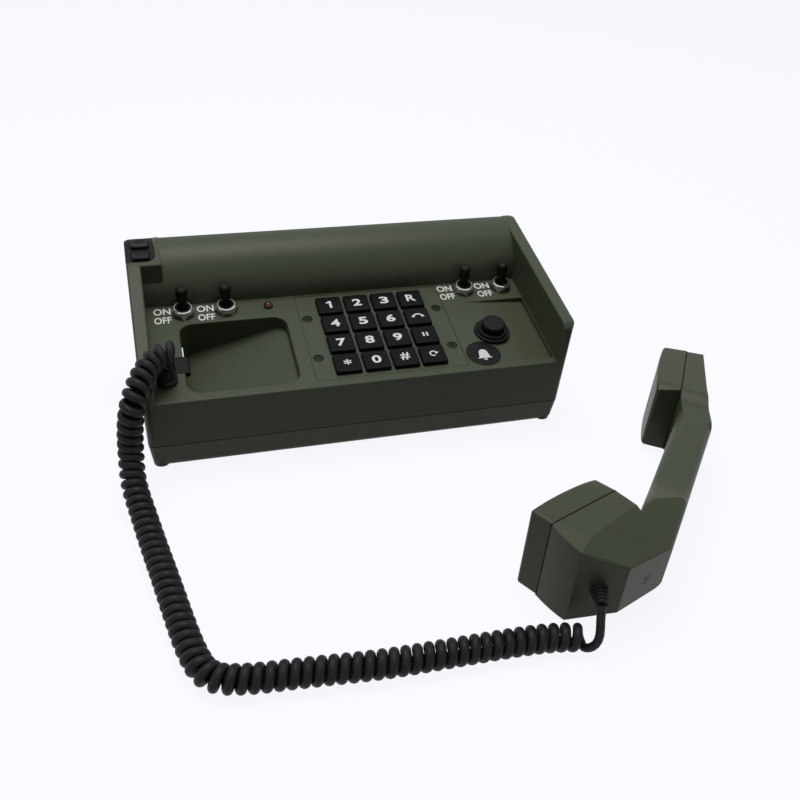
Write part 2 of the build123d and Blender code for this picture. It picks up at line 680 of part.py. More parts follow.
def closed_edges(lines):
    """Edges of one closed outline."""
    return [edge for line in lines for edge in line.edges()]


def toggles():
    """Bodies and nuts of the four switches, on the panel."""
    bodies = [on_panel(x, TOGGLE_S) * toggle_body() for x in TOGGLE_X]
    nut = toggle_nut()
    nuts = [on_panel(x, TOGGLE_S) * Rot(0, 0, turn) * nut for x, turn in zip(TOGGLE_X, NUT_TURNS)]
    return bodies, nuts


# ------------------------------------------------------------------ ring button, disc, lamp
def ring_bezel():
    """Stepped round bezel with a threaded neck through the panel."""
    body = column(BEZEL_R, -RING_SEAT, -RING_SEAT + BEZEL_THICK)
    body = fillet(body.edges().sort_by(Axis.Z)[-1], 0.6)
    body += column(COLLAR_R, -PANEL_THICK - 4, COLLAR_HEIGHT)
    top = body.edges().filter_by(GeomType.CIRCLE).sort_by(Axis.Z)[-1]
    body = fillet(top, 0.8)
    body -= column(RING_CAP_R + SLIDE_FIT, -PANEL_THICK - 5, COLLAR_HEIGHT + 1)
    return on_panel(*RING_AT) * body


def ring_cap():
    """The round press button."""
    body = column(RING_CAP_R, -PANEL_THICK, RING_CAP_TOP)
    body = fillet(body.edges().sort_by(Axis.Z)[-1], 1.0)
    body += column(2.0, -PANEL_THICK - 4.0, -PANEL_THICK + 0.5)
    return on_panel(*RING_AT) * body


def ring_switch():
    """The switch block hung from the bezel's neck."""
    low = -PANEL_THICK - 4
    body = column(COLLAR_R, low - 9, low)
    body -= column(2.0 + SLIDE_FIT, low - RING_TRAVEL - 1, low + 1)
    for t in (-5.0, 5.0):
        body += Pos(t, 0, low - 11) * Box(0.8, 2.4, 5)
    return on_panel(*RING_AT) * body


def label_disc():
    """The plain sunk disc beside the ring button."""
    body = column(DISC_R, -DISC_SINK, -DISC_SINK + DISC_THICK)
    body = chamfer(body.edges().sort_by(Axis.Z)[-1], 0.2)
    return on_panel(*DISC_AT) * body


def lamp():
    """The domed indicator lamp with its flange under the panel."""
    body = column(LAMP_R, -PANEL_THICK - 0.2, 0.2) + Pos(0, 0, 0.2) * Sphere(LAMP_R)
    body &= column(LAMP_R * 2, -PANEL_THICK - 0.2, 10)
    body += column(LAMP_R + 0.6, -PANEL_THICK - 1.4, -PANEL_THICK - TOUCH)
    for t in (-1.27, 1.27):
        body += Pos(t, 0, 0) * column(0.3, -PANEL_THICK - 8, -PANEL_THICK - 1)
    return on_panel(*LAMP_AT) * body


# ------------------------------------------------------------------ hook switch
def hook_slot():
    """Slot in the cradle's left rim, with its pivot hole, in panel coordinates."""
    x = (HOOK_SLOT_X[0], RECESS_X[0] + 1)
    body = block(x, HOOK_SLOT_S, (-7, 2))
    length = HOOK_SLOT_S[1] - HOOK_SLOT_S[0] + 2 * HOOK_PIN_END + 2 * FIT
    return body + hook_pivot() * Cylinder(HOOK_PIN_R + SLIDE_FIT / 2, length)


def hook_pivot():
    """The middle of the paddle's pin, with z along it, in panel coordinates."""
    return Pos(HOOK_SLOT_X[0] + HOOK_PIVOT[0], sum(HOOK_SLOT_S) / 2, HOOK_PIVOT[1]) * Rot(90, 0, 0)


def hook_lever():
    """The rocking paddle that the handset presses down."""
    pivot_x = HOOK_SLOT_X[0] + HOOK_PIVOT[0]
    s = (HOOK_SLOT_S[0] + SLIDE_FIT, HOOK_SLOT_S[1] - SLIDE_FIT)
    reach = RECESS_X[0] + HOOK_REACH
    body = block((pivot_x, reach), s, (-HOOK_THICK, -0.2))
    tip = body.edges().filter_by(Axis.Y).sort_by(Axis.X)[-2:]
    body = fillet(tip, 1.2)
    body += hook_pivot() * Cylinder(HOOK_HUB_R, s[1] - s[0])
    body += hook_pivot() * Cylinder(HOOK_PIN_R, HOOK_SLOT_S[1] - HOOK_SLOT_S[0] + 2 * HOOK_PIN_END)
    body += block((pivot_x - 0.7, pivot_x + 0.7), (s[0] + 4, s[1] - 4), (-9, -2))
    return PANEL.location * body


def hook_switch():
    """The small snap switch under the paddle, beside the cradle's wall."""
    x = (RECESS_X[0] - RECESS_WALL - 7.0, RECESS_X[0] - RECESS_WALL - 0.2)
    s = (HOOK_SLOT_S[0] - 3, HOOK_SLOT_S[1] + 3)
    body = block(x, s, (-22, -12))
    body = chamfer(body.edges().filter_by(Axis.Y), 0.4)
    body += block((x[0] + 2, x[0] + 4), (s[0] + 8, s[0] + 11), (-12.5, -11))
    for t in (3, 9, 15):
        body += block((x[0] + 3, x[0] + 3.6), (s[0] + t, s[0] + t + 2.4), (-26, -21.5))
    return PANEL.location * body


def hook_strip():
    """The bright spring strip on the cradle's left wall."""
    body = block((RECESS_X[0], RECESS_X[0] + 0.6), STRIP_S, (-8, -0.6))
    return PANEL.location * body


# ------------------------------------------------------------------ line terminals
def terminal_block():
    """The black block that fills the corner boss, with two wells for the press caps."""
    shell = wall_block(TERMINAL_FLOOR_Z - 1, TOP_Z + 1)
    body = terminal_pocket(FIT / 2) & shell
    front = BOSS_FRONT_Y
    drop = TERMINAL_BLOCK_DROP
    slope = [(front, FAR), (front, cheek_top_z(front) - drop), (BACK_Y - BOSS_FLAT, TOP_Z - drop)]
    body -= across(slope + [(FAR, TOP_Z - drop), (FAR, FAR)], -FAR, FAR)
    x, places = terminal_places()
    for y in places:
        well = (TERMINAL_CAP[0] + 2 * SLIDE_FIT, TERMINAL_CAP[1] + 2 * SLIDE_FIT)
        hole = RectangleRounded(well[0], well[1], 1.6)
        body -= Pos(x, y, pressed_z(y)) * extrude(hole, 20)
        body -= Pos(x, y, 0) * column(TERMINAL_PIN_R + 0.1, TERMINAL_FLOOR_Z + 2.0, TOP_Z)
    return body


def terminal_places():
    """Middle of each press cap: x, and y of the front and back one."""
    x = (-HALF_WIDTH + BOSS_RIGHT_X - BOSS_RIM) / 2 - 0.3
    middle = (BOSS_FRONT_Y + BOSS_RIM + BACK_Y) / 2 + 0.4
    return x, (middle - TERMINAL_PITCH / 2, middle + TERMINAL_PITCH / 2)


def pressed_z(y):
    """Floor of one well: just under its fully pressed cap."""
    return cheek_top_z(y) + TERMINAL_CAP_STAND - TERMINAL_CAP_TALL - TERMINAL_TRAVEL - 2 * SLIDE_FIT


def terminal_cap(index):
    """One press cap: squarish with a dished top, on a round stem."""
    x, places = terminal_places()
    top = cheek_top_z(places[index]) + TERMINAL_CAP_STAND
    low = top - TERMINAL_CAP_TALL
    body = Pos(0, 0, low) * extrude(RectangleRounded(TERMINAL_CAP[0], TERMINAL_CAP[1], 1.4), top - low)
    body = fillet(body.faces().sort_by(Axis.Z)[-1].edges(), 0.9)
    body -= Pos(0, 0, top + 13.0) * Sphere(13.6)
    return Pos(x, places[index], 0) * body


def terminal_pins():
    """The two spring-loaded metal contact pins under the caps."""
    x, places = terminal_places()
    pins = []
    for y in places:
        pins.append(Pos(x, y, 0) * column(TERMINAL_PIN_R, TERMINAL_FLOOR_Z + 2.0, pressed_z(y) + SLIDE_FIT))
    return pins


# ------------------------------------------------------------------ battery, boards, ringer
def battery_cells():
    """The round cells side by side."""
    x, y = battery_room()
    cells = []
    for i in range(CELL_COUNT):
        at = Pos(BATTERY_AT[0], y[0] + 0.4 + (i + 0.5) * CELL_PITCH, cell_z())
        turn = Rot(0, 90 if i % 2 else -90, 0)
        cell = Cylinder(CELL_R, CELL_LENGTH - 1.2)
        cell += Pos(0, 0, CELL_LENGTH / 2) * Cylinder(2.6, 1.6)
        cells.append(at * turn * cell)
    return cells


def battery_contacts():
    """Sprung metal plates at both ends of the cells."""
    x, y = battery_room()
    height = (TRAY_BOTTOM_Z + COVER_THICK + 1, cell_z() + CELL_R - 1)
    plates = []
    for i in range(CELL_COUNT):
        middle = y[0] + 0.4 + (i + 0.5) * CELL_PITCH
        span = (middle - 4.5, middle + 4.5)
        plates.append(block((x[0], x[0] + CONTACT_THICK), span, height))
        plates.append(block((x[1] - CONTACT_THICK, x[1]), span, height))
    return plates


def battery_cover():
    """The flat cover under the battery box, with finger ribs."""
    x, y = battery_room(BATTERY_WALL / 2 - FIT)
    body = block(x, y, (TRAY_BOTTOM_Z, TRAY_BOTTOM_Z + COVER_THICK))
    for i in range(5):
        at = x[0] + 6 + 2.4 * i
        groove_y = (BATTERY_AT[1] - COVER_GRIP / 2, BATTERY_AT[1] + COVER_GRIP / 2)
        body -= block((at, at + 1.2), groove_y, (TRAY_BOTTOM_Z - 1, TRAY_BOTTOM_Z + 0.6))
    return body


def main_board():
    """The circuit board on its posts, with its larger parts."""
    x = (MAIN_BOARD_AT[0] - MAIN_BOARD[0] / 2, MAIN_BOARD_AT[0] + MAIN_BOARD[0] / 2)
    y = (MAIN_BOARD_AT[1] - MAIN_BOARD[1] / 2, MAIN_BOARD_AT[1] + MAIN_BOARD[1] / 2)
    top = MAIN_BOARD_Z + BOARD_THICK
    body = block(x, y, (MAIN_BOARD_Z, top))
    for px, py in board_post_places():
        body -= Pos(px, py, 0) * column(SCREW_R + 0.2, MAIN_BOARD_Z - 1, top + 1)
    for (dx, dy), (wide, deep, high) in BOARD_PARTS:
        place = Pos(MAIN_BOARD_AT[0] + dx, MAIN_BOARD_AT[1] + dy, top + high / 2 - TOUCH)
        body += place * Box(wide, deep, high + 2 * TOUCH)
    return body


def board_screws():
    """Four screws of the main board, into its posts."""
    one = Pos(0, 0, MAIN_BOARD_Z + BOARD_THICK) * screw(MAIN_BOARD_Z - TRAY_BOTTOM_Z - TRAY_WALL - 1)
    return [Pos(x, y, 0) * one for x, y in board_post_places()]


def ringer():
    """The round sounder on the tray's floor."""
    low = TRAY_BOTTOM_Z + TRAY_WALL
    body = column(RINGER_R, low, low + RINGER_HEIGHT)
    body = fillet(body.edges().sort_by(Axis.Z)[-1], 1.5)
    body -= column(2.0, low + RINGER_HEIGHT - 2, low + RINGER_HEIGHT + 1)
    return Pos(RINGER_AT[0], RINGER_AT[1], 0) * body


# ------------------------------------------------------------------ cord entry
def ribs(low, high, radius_at):
    """Rings that cut a tapering boot into ribs, from one height to another."""
    count = int((high - low) / RIB_PITCH)
    rings = []
    for i in range(count):
        z = low + (i + 0.5) * RIB_PITCH
        inner = radius_at(z) - RIB_DEPTH
        rings.append(column(radius_at(low) + 1, z, z + RIB_PITCH / 2) - column(inner, z - 1, z + RIB_PITCH))
    return rings


def panel_gland():
    """The ribbed rubber boot that the cord leaves the panel by."""
    under = -PANEL_THICK - TOUCH
    low = under - GLAND_FLANGE_THICK
    shoulder = GLAND_HEIGHT * 0.35
    profile = [
        (0, low),
        (GLAND_NECK_R + GLAND_FLANGE - 0.4, low),
        (GLAND_NECK_R + GLAND_FLANGE, under),
        (GLAND_NECK_R, under),
        (GLAND_NECK_R, 0.02),
        (GLAND_R, 0.02),
        (GLAND_R, shoulder - 0.8),
        (GLAND_R - 0.8, shoulder),
        (GLAND_TOP_R, GLAND_HEIGHT),
        (0, GLAND_HEIGHT),
    ]
    body = revolve(make_face(Plane.XZ * Polyline(*profile, close=True)), Axis.Z)
    slope = (GLAND_R - 0.8 - GLAND_TOP_R) / (GLAND_HEIGHT - shoulder)
    for ring in ribs(shoulder, GLAND_HEIGHT, lambda z: GLAND_R - 0.8 - slope * (z - shoulder)):
        body -= ring
    return on_panel(*GLAND_AT) * body


# ------------------------------------------------------------------ handset
TURN = math.radians(HANDSET_TURN)
HANDSET = Plane(
    origin=(HANDSET_AT[0], HANDSET_AT[1], TRANSMITTER_W / 2),
    x_dir=(math.cos(TURN), math.sin(TURN), 0),
    z_dir=(0, 0, 1),
)
# side view corners as (l, d)
BACK_LOW = (0.0, 0.0)
END_LOW = (-26.2, 14.9)
END_HIGH = (-35.9, 36.6)
SEAM_T = ((-26.1, 54.4), (12.4, 33.9))
FACE_T = ((-22.2, 66.6), (16.0, 46.1))
INNER_T = (6.0, HANDLE_D)
INNER_R = (111.0, HANDLE_D)
SEAM_RC = ((120.4, 22.5), (164.4, 27.7))
FACE_RC = ((116.3, 35.6), (160.8, 41.8))
FAR_BACK = (166.5, 18.3)
KNEE = ((127.6, 9.2), (98.0, 0.0))


def bulged(a, b, bulge):
    """An arc from a to b, bulging to the left of that direction."""
    dx, dy = b[0] - a[0], b[1] - a[1]
    size = math.hypot(dx, dy)
    middle = ((a[0] + b[0]) / 2 - dy / size * bulge, (a[1] + b[1]) / 2 + dx / size * bulge)
    return ThreePointArc(a, middle, b)


def width_outline():
    """The handset's outline seen on its back, as a slab through all of d."""
    t, h, r = TRANSMITTER_W / 2, HANDLE_W / 2, RECEIVER_W / 2
    e = t - END_TAPER
    edge = [
        Line((-45, 0), (-45, e - 1)),
        Line((-45, e - 1), (-24, t)),
        Line((-24, t), (8, t)),
        Spline((8, t), (30, h + 1.2), (52, h), tangents=((1, 0), (1, 0))),
        Line((52, h), (INNER_R[0] + 1.0, h - 0.3)),
        Spline((INNER_R[0] + 1.0, h - 0.3), (124, r), tangents=((1, 0), (1, 0))),
        Line((124, r), (175, r - 0.6)),
        Line((175, r - 0.6), (175, 0)),
        Line((175, 0), (-45, 0)),
    ]
    half = make_face(Plane.XZ * Wire(closed_edges(edge)))
    slab = extrude(half, FAR / 2, both=True)
    return slab + mirror(slab, Plane.XY)


def end_facets():
    """The two large facets that narrow the transmitter end towards the back."""
    a = Vector(BACK_LOW[0], BACK_LOW[1], BACK_EDGE_W / 2)
    b = Vector(END_LOW[0], END_LOW[1], END_EDGE_W / 2)
    c = Vector(END_HIGH[0], END_HIGH[1], TRANSMITTER_W / 2 - END_TAPER)
    normal = (a - b).cross(c - b).normalized()
    if normal.Z < 0:
        normal = normal * -1
    cut = Plane(origin=a, z_dir=normal).location * Pos(0, 0, FAR / 2) * Box(FAR, FAR, FAR)
    limit = block((-FAR, 40.0), (-FAR, FAR), (0, FAR))
    one = cut & limit
    return one + mirror(one, Plane.XY)


def slab_of(lines):
    """A side outline pulled through the full thickness."""
    face = make_face(Wire(closed_edges(lines)))
    return extrude(face, TRANSMITTER_W / 2 + 1, both=True)


def body_slab():
    """Side outline of the handset without its two caps."""
    points = [
        Line(BACK_LOW, END_LOW),
        Line(END_LOW, END_HIGH),
        bulged(END_HIGH, SEAM_T[0], 0.8),
        Line(SEAM_T[0], SEAM_T[1]),
        Line(SEAM_T[1], INNER_T),
        Line(INNER_T, INNER_R),
        Line(INNER_R, SEAM_RC[0]),
        Line(SEAM_RC[0], SEAM_RC[1]),
        Line(SEAM_RC[1], FAR_BACK),
        Line(FAR_BACK, KNEE[0]),
        Line(KNEE[0], KNEE[1]),
        Line(KNEE[1], BACK_LOW),
    ]
    return slab_of(points)


def cap_slab(seam, face):
    """Side outline of one cap, from its seam to its bulged face."""
    points = [
        Line(seam[0], face[0]),
        bulged(face[0], face[1], FACE_BULGE),
        Line(face[1], seam[1]),
        Line(seam[1], seam[0]),
    ]
    return slab_of(points)


def seam_frame(seam):
    """Location on the middle of a seam, with z out of the face."""
    run = Vector(seam[1][0] - seam[0][0], seam[1][1] - seam[0][1], 0)
    middle = ((seam[0][0] + seam[1][0]) / 2, (seam[0][1] + seam[1][1]) / 2, 0)
    normal = Vector(-run.Y, run.X, 0).normalized()
    return Plane(origin=middle, x_dir=run.normalized(), z_dir=normal).location


def capsule_room(seam, low, high, grow):
    """The round space for a capsule, measured out of the seam."""
    return seam_frame(seam) * column(CAPSULE_R + grow, low, high)


def handset_body():
    """The one-piece handle and shells of both ends, open at the seams."""
    body = body_slab() & width_outline()
    inner = [e for e in body.edges() if on_line(e, HANDLE_D, INNER_T[0], INNER_R[0])]
    body = fillet(inner, HANDLE_EDGE_R)
    body -= end_facets()
    back = [e for e in body.edges() if on_line(e, 0.0, INNER_T[0], KNEE[1][0])]
    body = fillet(back, HANDLE_EDGE_R)
    facet_sides = [e for e in body.edges() if ends_at(e, END_LOW) == 1]
    body = fillet(facet_sides, FACET_EDGE_R)
    far_end = [e for e in body.edges() if ends_at(e, FAR_BACK) + ends_at(e, SEAM_RC[1]) == 2]
    body = fillet([e for e in far_end if ends_at(e, FAR_BACK)], FACET_EDGE_R)
    body -= capsule_room(SEAM_T, -9.0, 5.0, CAPSULE_FIT)
    body -= capsule_room(SEAM_RC, -5.0, 5.0, CAPSULE_FIT)
    at, axis = gland_place()
    body -= Plane(origin=at, z_dir=axis).location * column(2.6, -8, 3)
    body -= end_screw_place() * column(SCREW_HEAD_R + 0.3, -3.0, 5)
    body -= end_screw_place() * column(SCREW_R + TOUCH, -14.0, 1)
    return HANDSET.location * body


def ends_at(edge, corner):
    """How many ends of an edge lie at one corner of the side view."""
    return sum(math.hypot((edge @ t).X - corner[0], (edge @ t).Y - corner[1]) < 0.2 for t in (0, 1))


def on_line(edge, d, l_low, l_high):
    """Whether an edge runs along the handle's side at this d, between two places."""
    middle = edge.center()
    level = abs((edge @ 0).Y - d) < 0.5 and abs((edge @ 1).Y - d) < 0.5
    beside = l_low < middle.X < l_high and abs(middle.Z) > HANDLE_W / 4
    return level and beside and edge.length > HANDLE_EDGE_R * 2


def cap(seam, face, holes):
    """One screwed-on end cap with its sound holes."""
    body = cap_slab(seam, face) & width_outline()
    outer = [e for e in body.edges() if min_side(e, seam) > 3.0]
    body = fillet(outer, CAP_EDGE_R)
    body = chamfer([e for e in body.edges() if abs(max_side(e, seam)) < 0.01], SHADOW_GAP)
    top = 30.0
    body -= capsule_room(seam, -5.0, holes[0], CAPSULE_FIT)
    frame = seam_frame(seam)
    for ring, count in holes[1]:
        for i in range(count):
            angle = 2 * math.pi * i / count
            place = Pos(ring * math.cos(angle), ring * math.sin(angle), 0)
            body -= frame * place * column(SOUND_HOLE_R, 0, top)
    return HANDSET.location * body


def min_side(edge, seam):
    """How far an edge's nearer end stands out of a seam."""
    frame = seam_frame(seam).inverse()
    return min((frame * Location(tuple(edge @ t))).position.Z for t in (0, 0.5, 1))


def max_side(edge, seam):
    """How far an edge's farther end stands out of a seam."""
    frame = seam_frame(seam).inverse()
    return max((frame * Location(tuple(edge @ t))).position.Z for t in (0, 0.5, 1))


def end_screw_place():
    """The screw in the lower end facet, pointing in."""
    run = Vector(BACK_LOW[0] - END_LOW[0], BACK_LOW[1] - END_LOW[1], 0).normalized()
    out = Vector(run.Y, -run.X, 0)
    middle = ((BACK_LOW[0] + END_LOW[0]) / 2, (BACK_LOW[1] + END_LOW[1]) / 2, 0)
    return Plane(origin=middle, z_dir=out).location


def gland_place():
    """Where the cord enters the end of the handset, and the way out."""
    run = Vector(END_LOW[0] - END_HIGH[0], END_LOW[1] - END_HIGH[1], 0).normalized()
    out = Vector(run.Y, -run.X, 0)
    if out.X > 0:
        out = out * -1
    return Vector(HANDSET_GLAND_AT[0], HANDSET_GLAND_AT[1], 0), out


def handset_gland():
    """The short ribbed strain relief of the handset."""
    bottom = (Align.CENTER, Align.CENTER, Align.MIN)
    body = Pos(0, 0, TOUCH) * Cone(HANDSET_GLAND_R, HANDSET_GLAND_TOP_R, HANDSET_GLAND_LENGTH, align=bottom)
    slope = (HANDSET_GLAND_R - HANDSET_GLAND_TOP_R) / HANDSET_GLAND_LENGTH
    for ring in ribs(1.0, HANDSET_GLAND_LENGTH, lambda z: HANDSET_GLAND_R - slope * z):
        body -= ring
    body += column(HANDSET_GLAND_NECK_R, -6, 0.5)
    at, out = gland_place()
    return HANDSET.location * Plane(origin=at, z_dir=out).location * body


def capsule(seam, low, thick):
    """A round microphone or receiver capsule."""
    body = column(CAPSULE_R, low, low + thick)
    body = chamfer(body.edges().sort_by(Axis.Z)[-1], 1.0)
    body += column(3.0, low - 0.6, low + 0.5)
    return HANDSET.location * (seam_frame(seam) * body)


def handset_screws():
    """The screw in the lower end facet."""
    return HANDSET.location * (end_screw_place() * (Pos(0, 0, -3.0) * screw(10.0)))


# ------------------------------------------------------------------ cord
BASE_TAIL = [(-104.9, -41.0, 63.0), (-103.2, -41.0, 69.4), (-105.4, -41.0, 72.6), (-110.0, -40.6, 72.3)]
COIL = [
    (-110.0, -40.4, 67.3), (-117.0, -46.5, 67.3), (-122.8, -57.5, 65.2), (-127.3, -66.8, 58.0),
    (-129.5, -67.6, 42.0), (-130.8, -69.0, 25.0), (-131.2, -80.0, 14.0), (-127.6, -98.0, 9.2),
    (-123.6, -121.0, 7.1), (-119.4, -144.5, 7.2), (-115.0, -171.0, 7.1), (-111.2, -191.0, 7.2),
    (-106.0, -204.6, 7.1), (-92.0, -209.2, 7.2), (-62.0, -211.4, 7.1), (-30.0, -214.8, 7.2),
    (2.0, -215.4, 7.1), (34.0, -216.2, 7.2), (54.0, -217.6, 7.1), (63.0, -220.2, 7.2),
]
HANDSET_TAIL = [(64.4, -224.6, 6.8), (69.0, -227.4, 8.8), (71.0, -226.2, 15.0), (71.6, -222.6, 20.6)]


def corner_radii(points):
    """For each corner the largest arc that its two runs allow."""
    radii = []
    for a, b, c in zip(points, points[1:], points[2:]):
        first, second = Vector(*b) - Vector(*a), Vector(*c) - Vector(*b)
        turn = math.radians(first.get_angle(second))
        radii.append(0.45 * min(first.length, second.length) / math.tan(turn / 2))
    return radii


def tube(points, radius):
    """A round tube along straight runs joined by tangent arcs."""
    radii = corner_radii(points)
    print("corner radii", [round(r, 1) for r in radii])
    path = FilletPolyline(*points, radius=radii)
    start = Plane(origin=path @ 0, z_dir=path % 0)
    body = sweep(start * Circle(radius), path=path)
    print("tube volume", round(body.volume), "section x length", round(math.pi * radius**2 * path.length))
    return body


def keep(name, shape):
    """Place one node in the common frame and write it."""
    pieces = shape if isinstance(shape, list) else [shape]
    solids = [solid for piece in pieces for solid in piece.solids()]
    move = Pos(BASE_X, BASE_Y, 0)
    whole = Compound(children=[move * solid for solid in solids]) if len(solids) > 1 else move * solids[0]
    whole.label = name
    export_step(whole, f"parts/{name}.step")


def build():
    """Write every node."""
    os.makedirs("parts", exist_ok=True)
    keep("upper_housing", upper_housing())
    keep("lower_tray", lower_tray())
    keep("housing_screws", housing_screws())
    keep("rubber_feet", rubber_feet())
    keep("keypad_plate", keypad_plate())
    keep("keypad_screws", keypad_screws())
    keep("keypad_mat", keypad_mat())
    keep("keypad_board", keypad_board())
    for row, names in enumerate(KEY_NAMES):
        for place, name in enumerate(names):
            keep(f"key_{name}", key(place, row))
    bodies, nuts = toggles()
    keep("toggle_bodies", bodies)
    keep("toggle_nuts", nuts)
    for index, x in enumerate(TOGGLE_X):
        keep(f"toggle_lever_{index + 1}", on_panel(x, TOGGLE_S) * toggle_lever())
    keep("ring_bezel", ring_bezel())
    keep("ring_cap", ring_cap())
    keep("ring_switch", ring_switch())
    keep("label_disc", label_disc())
    keep("lamp", lamp())
    keep("hook_lever", hook_lever())
    keep("hook_switch", hook_switch())
    keep("hook_strip", hook_strip())
    keep("terminal_block", terminal_block())
    keep("terminal_cap_front", terminal_cap(0))
    keep("terminal_cap_back", terminal_cap(1))
    keep("terminal_pins", terminal_pins())
    keep("battery_cells", battery_cells())
    keep("battery_contacts", battery_contacts())
    keep("battery_cover", battery_cover())
    keep("main_board", main_board())
    keep("board_screws", board_screws())
    keep("ringer", ringer())
    keep("panel_gland", panel_gland())
    keep("handset_body", handset_body())
    keep("transmitter_cap", cap(SEAM_T, FACE_T, (9.0, ((0, 1), (4.0, 6)))))
    keep("receiver_cap", cap(SEAM_RC, FACE_RC, (7.5, ((0, 1), (4.0, 6), (8.0, 12)))))
    keep("transmitter_capsule", capsule(SEAM_T, -8.0, TRANSMITTER_CAPSULE_THICK))
    keep("receiver_capsule", capsule(SEAM_RC, -4.0, RECEIVER_CAPSULE_THICK))
    keep("handset_screws", handset_screws())
    keep("handset_gland", handset_gland())
    gland_top = on_panel(GLAND_AT[0], GLAND_AT[1], GLAND_HEIGHT).position
    keep("cord_tail_base", tube([tuple(gland_top)] + BASE_TAIL, WIRE_R))
    keep("cord_coil", tube(COIL, COIL_R))
    at, out = gland_place()
    end = HANDSET.location * Pos(*tuple(at + out * (HANDSET_GLAND_LENGTH + TOUCH)))
    keep("cord_tail_handset", tube(HANDSET_TAIL + [tuple(end.position)], WIRE_R))


build()
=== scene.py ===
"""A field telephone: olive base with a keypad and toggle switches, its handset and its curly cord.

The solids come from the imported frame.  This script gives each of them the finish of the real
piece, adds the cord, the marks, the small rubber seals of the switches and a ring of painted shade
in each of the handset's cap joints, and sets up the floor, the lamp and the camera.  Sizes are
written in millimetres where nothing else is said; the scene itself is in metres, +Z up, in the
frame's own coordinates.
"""
import math

import bmesh
import bpy
import numpy as np
from mathutils import Matrix, Vector


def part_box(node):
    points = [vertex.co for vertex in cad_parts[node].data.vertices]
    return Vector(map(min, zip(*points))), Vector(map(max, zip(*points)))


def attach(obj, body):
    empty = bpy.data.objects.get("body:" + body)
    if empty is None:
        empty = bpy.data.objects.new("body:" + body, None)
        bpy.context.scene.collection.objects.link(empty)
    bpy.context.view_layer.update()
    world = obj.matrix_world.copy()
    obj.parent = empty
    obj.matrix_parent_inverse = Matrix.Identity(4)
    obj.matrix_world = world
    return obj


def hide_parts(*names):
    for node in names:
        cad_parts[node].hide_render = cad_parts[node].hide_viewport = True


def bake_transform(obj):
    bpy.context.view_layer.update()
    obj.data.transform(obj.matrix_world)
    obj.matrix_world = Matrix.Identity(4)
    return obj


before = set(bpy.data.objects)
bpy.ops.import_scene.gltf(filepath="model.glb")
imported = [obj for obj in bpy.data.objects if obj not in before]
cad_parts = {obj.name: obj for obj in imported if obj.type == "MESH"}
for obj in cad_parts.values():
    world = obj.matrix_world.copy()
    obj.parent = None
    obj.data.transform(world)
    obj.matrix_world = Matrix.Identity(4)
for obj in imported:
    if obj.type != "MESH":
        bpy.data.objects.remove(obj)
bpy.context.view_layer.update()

# ------------------------------------------------------------------ camera
# It stands in front of the telephone and a little to its left, and looks down at it.
MM = 0.001
CAMERA_AT = Vector((-155.235, -373.235, 343.2)) * MM
CAMERA_AHEAD = Vector((0.2522, 0.7633, -0.5948))
CAMERA_UP = Vector((0.1092, 0.5883, 0.8012))
LENS_MM = 40.85
NEAREST_SEEN = 0.01            # metres
scene = bpy.context.scene


def add_camera():
    """A camera whose axes are given by where it looks and which way is up in its view."""
    ahead = CAMERA_AHEAD.normalized()
    right = ahead.cross(CAMERA_UP).normalized()
    up = right.cross(ahead)
    turn = Matrix((right, up, -ahead)).transposed().to_4x4()
    data = bpy.data.cameras.new("camera")
    data.lens = LENS_MM
    data.clip_start = NEAREST_SEEN
    camera = bpy.data.objects.new("camera", data)
    camera.matrix_world = Matrix.Translation(CAMERA_AT) @ turn
    scene.collection.objects.link(camera)
    scene.camera = camera


add_camera()

# ------------------------------------------------------------------ curly cord
# One PVC-jacketed lead from the panel's gland to the handset's.  It is wound on a mandrel and heat
# set, so its turns lie against each other and are pressed a little wider than the straight tails;
# the first and last open up where they are pulled.
WIRE_R = 2.1 * MM
WOUND_WIRE_R = 2.55 * MM       # the jacket in the winding, fattened by the squeeze
FATTENS_OVER = 0.75            # of a turn, at each end of the winding
COIL_WIRE_R = 4.4 * MM         # from the coil's axis to the wire's
FIRST_TURN_R = 4.9 * MM        # the same where the gland pulls the first turn wide,
FIRST_TURN_OVER = 0.02         # which fades over this share of the coil
PITCH = 5.45 * MM              # from one turn to the next
LOOSER_BY = 0.25 * MM          # added to the pitch where the coil hangs from the panel:
LOOSER_AT = LOOSER_OVER = 0.1  # how far along the coil that is, and over how much of it
LAST_LOOSER_BY = 2.6 * MM      # added where the handset pulls the last turns open,
LAST_LOOSER_OVER = 0.008       # which fades over this share of the coil
START_PHASE = 0.2              # of a turn past the underside, where the wire comes from the gland
END_PHASE = -0.02              # of a turn, where it leaves for the handset
POINTS_PER_TURN = 16
SQUEEZE = math.cos(math.pi / POINTS_PER_TURN)   # the spline runs this far inside its points
AXIS_POINTS = 4000             # steps in which the winding follows the coil's axis

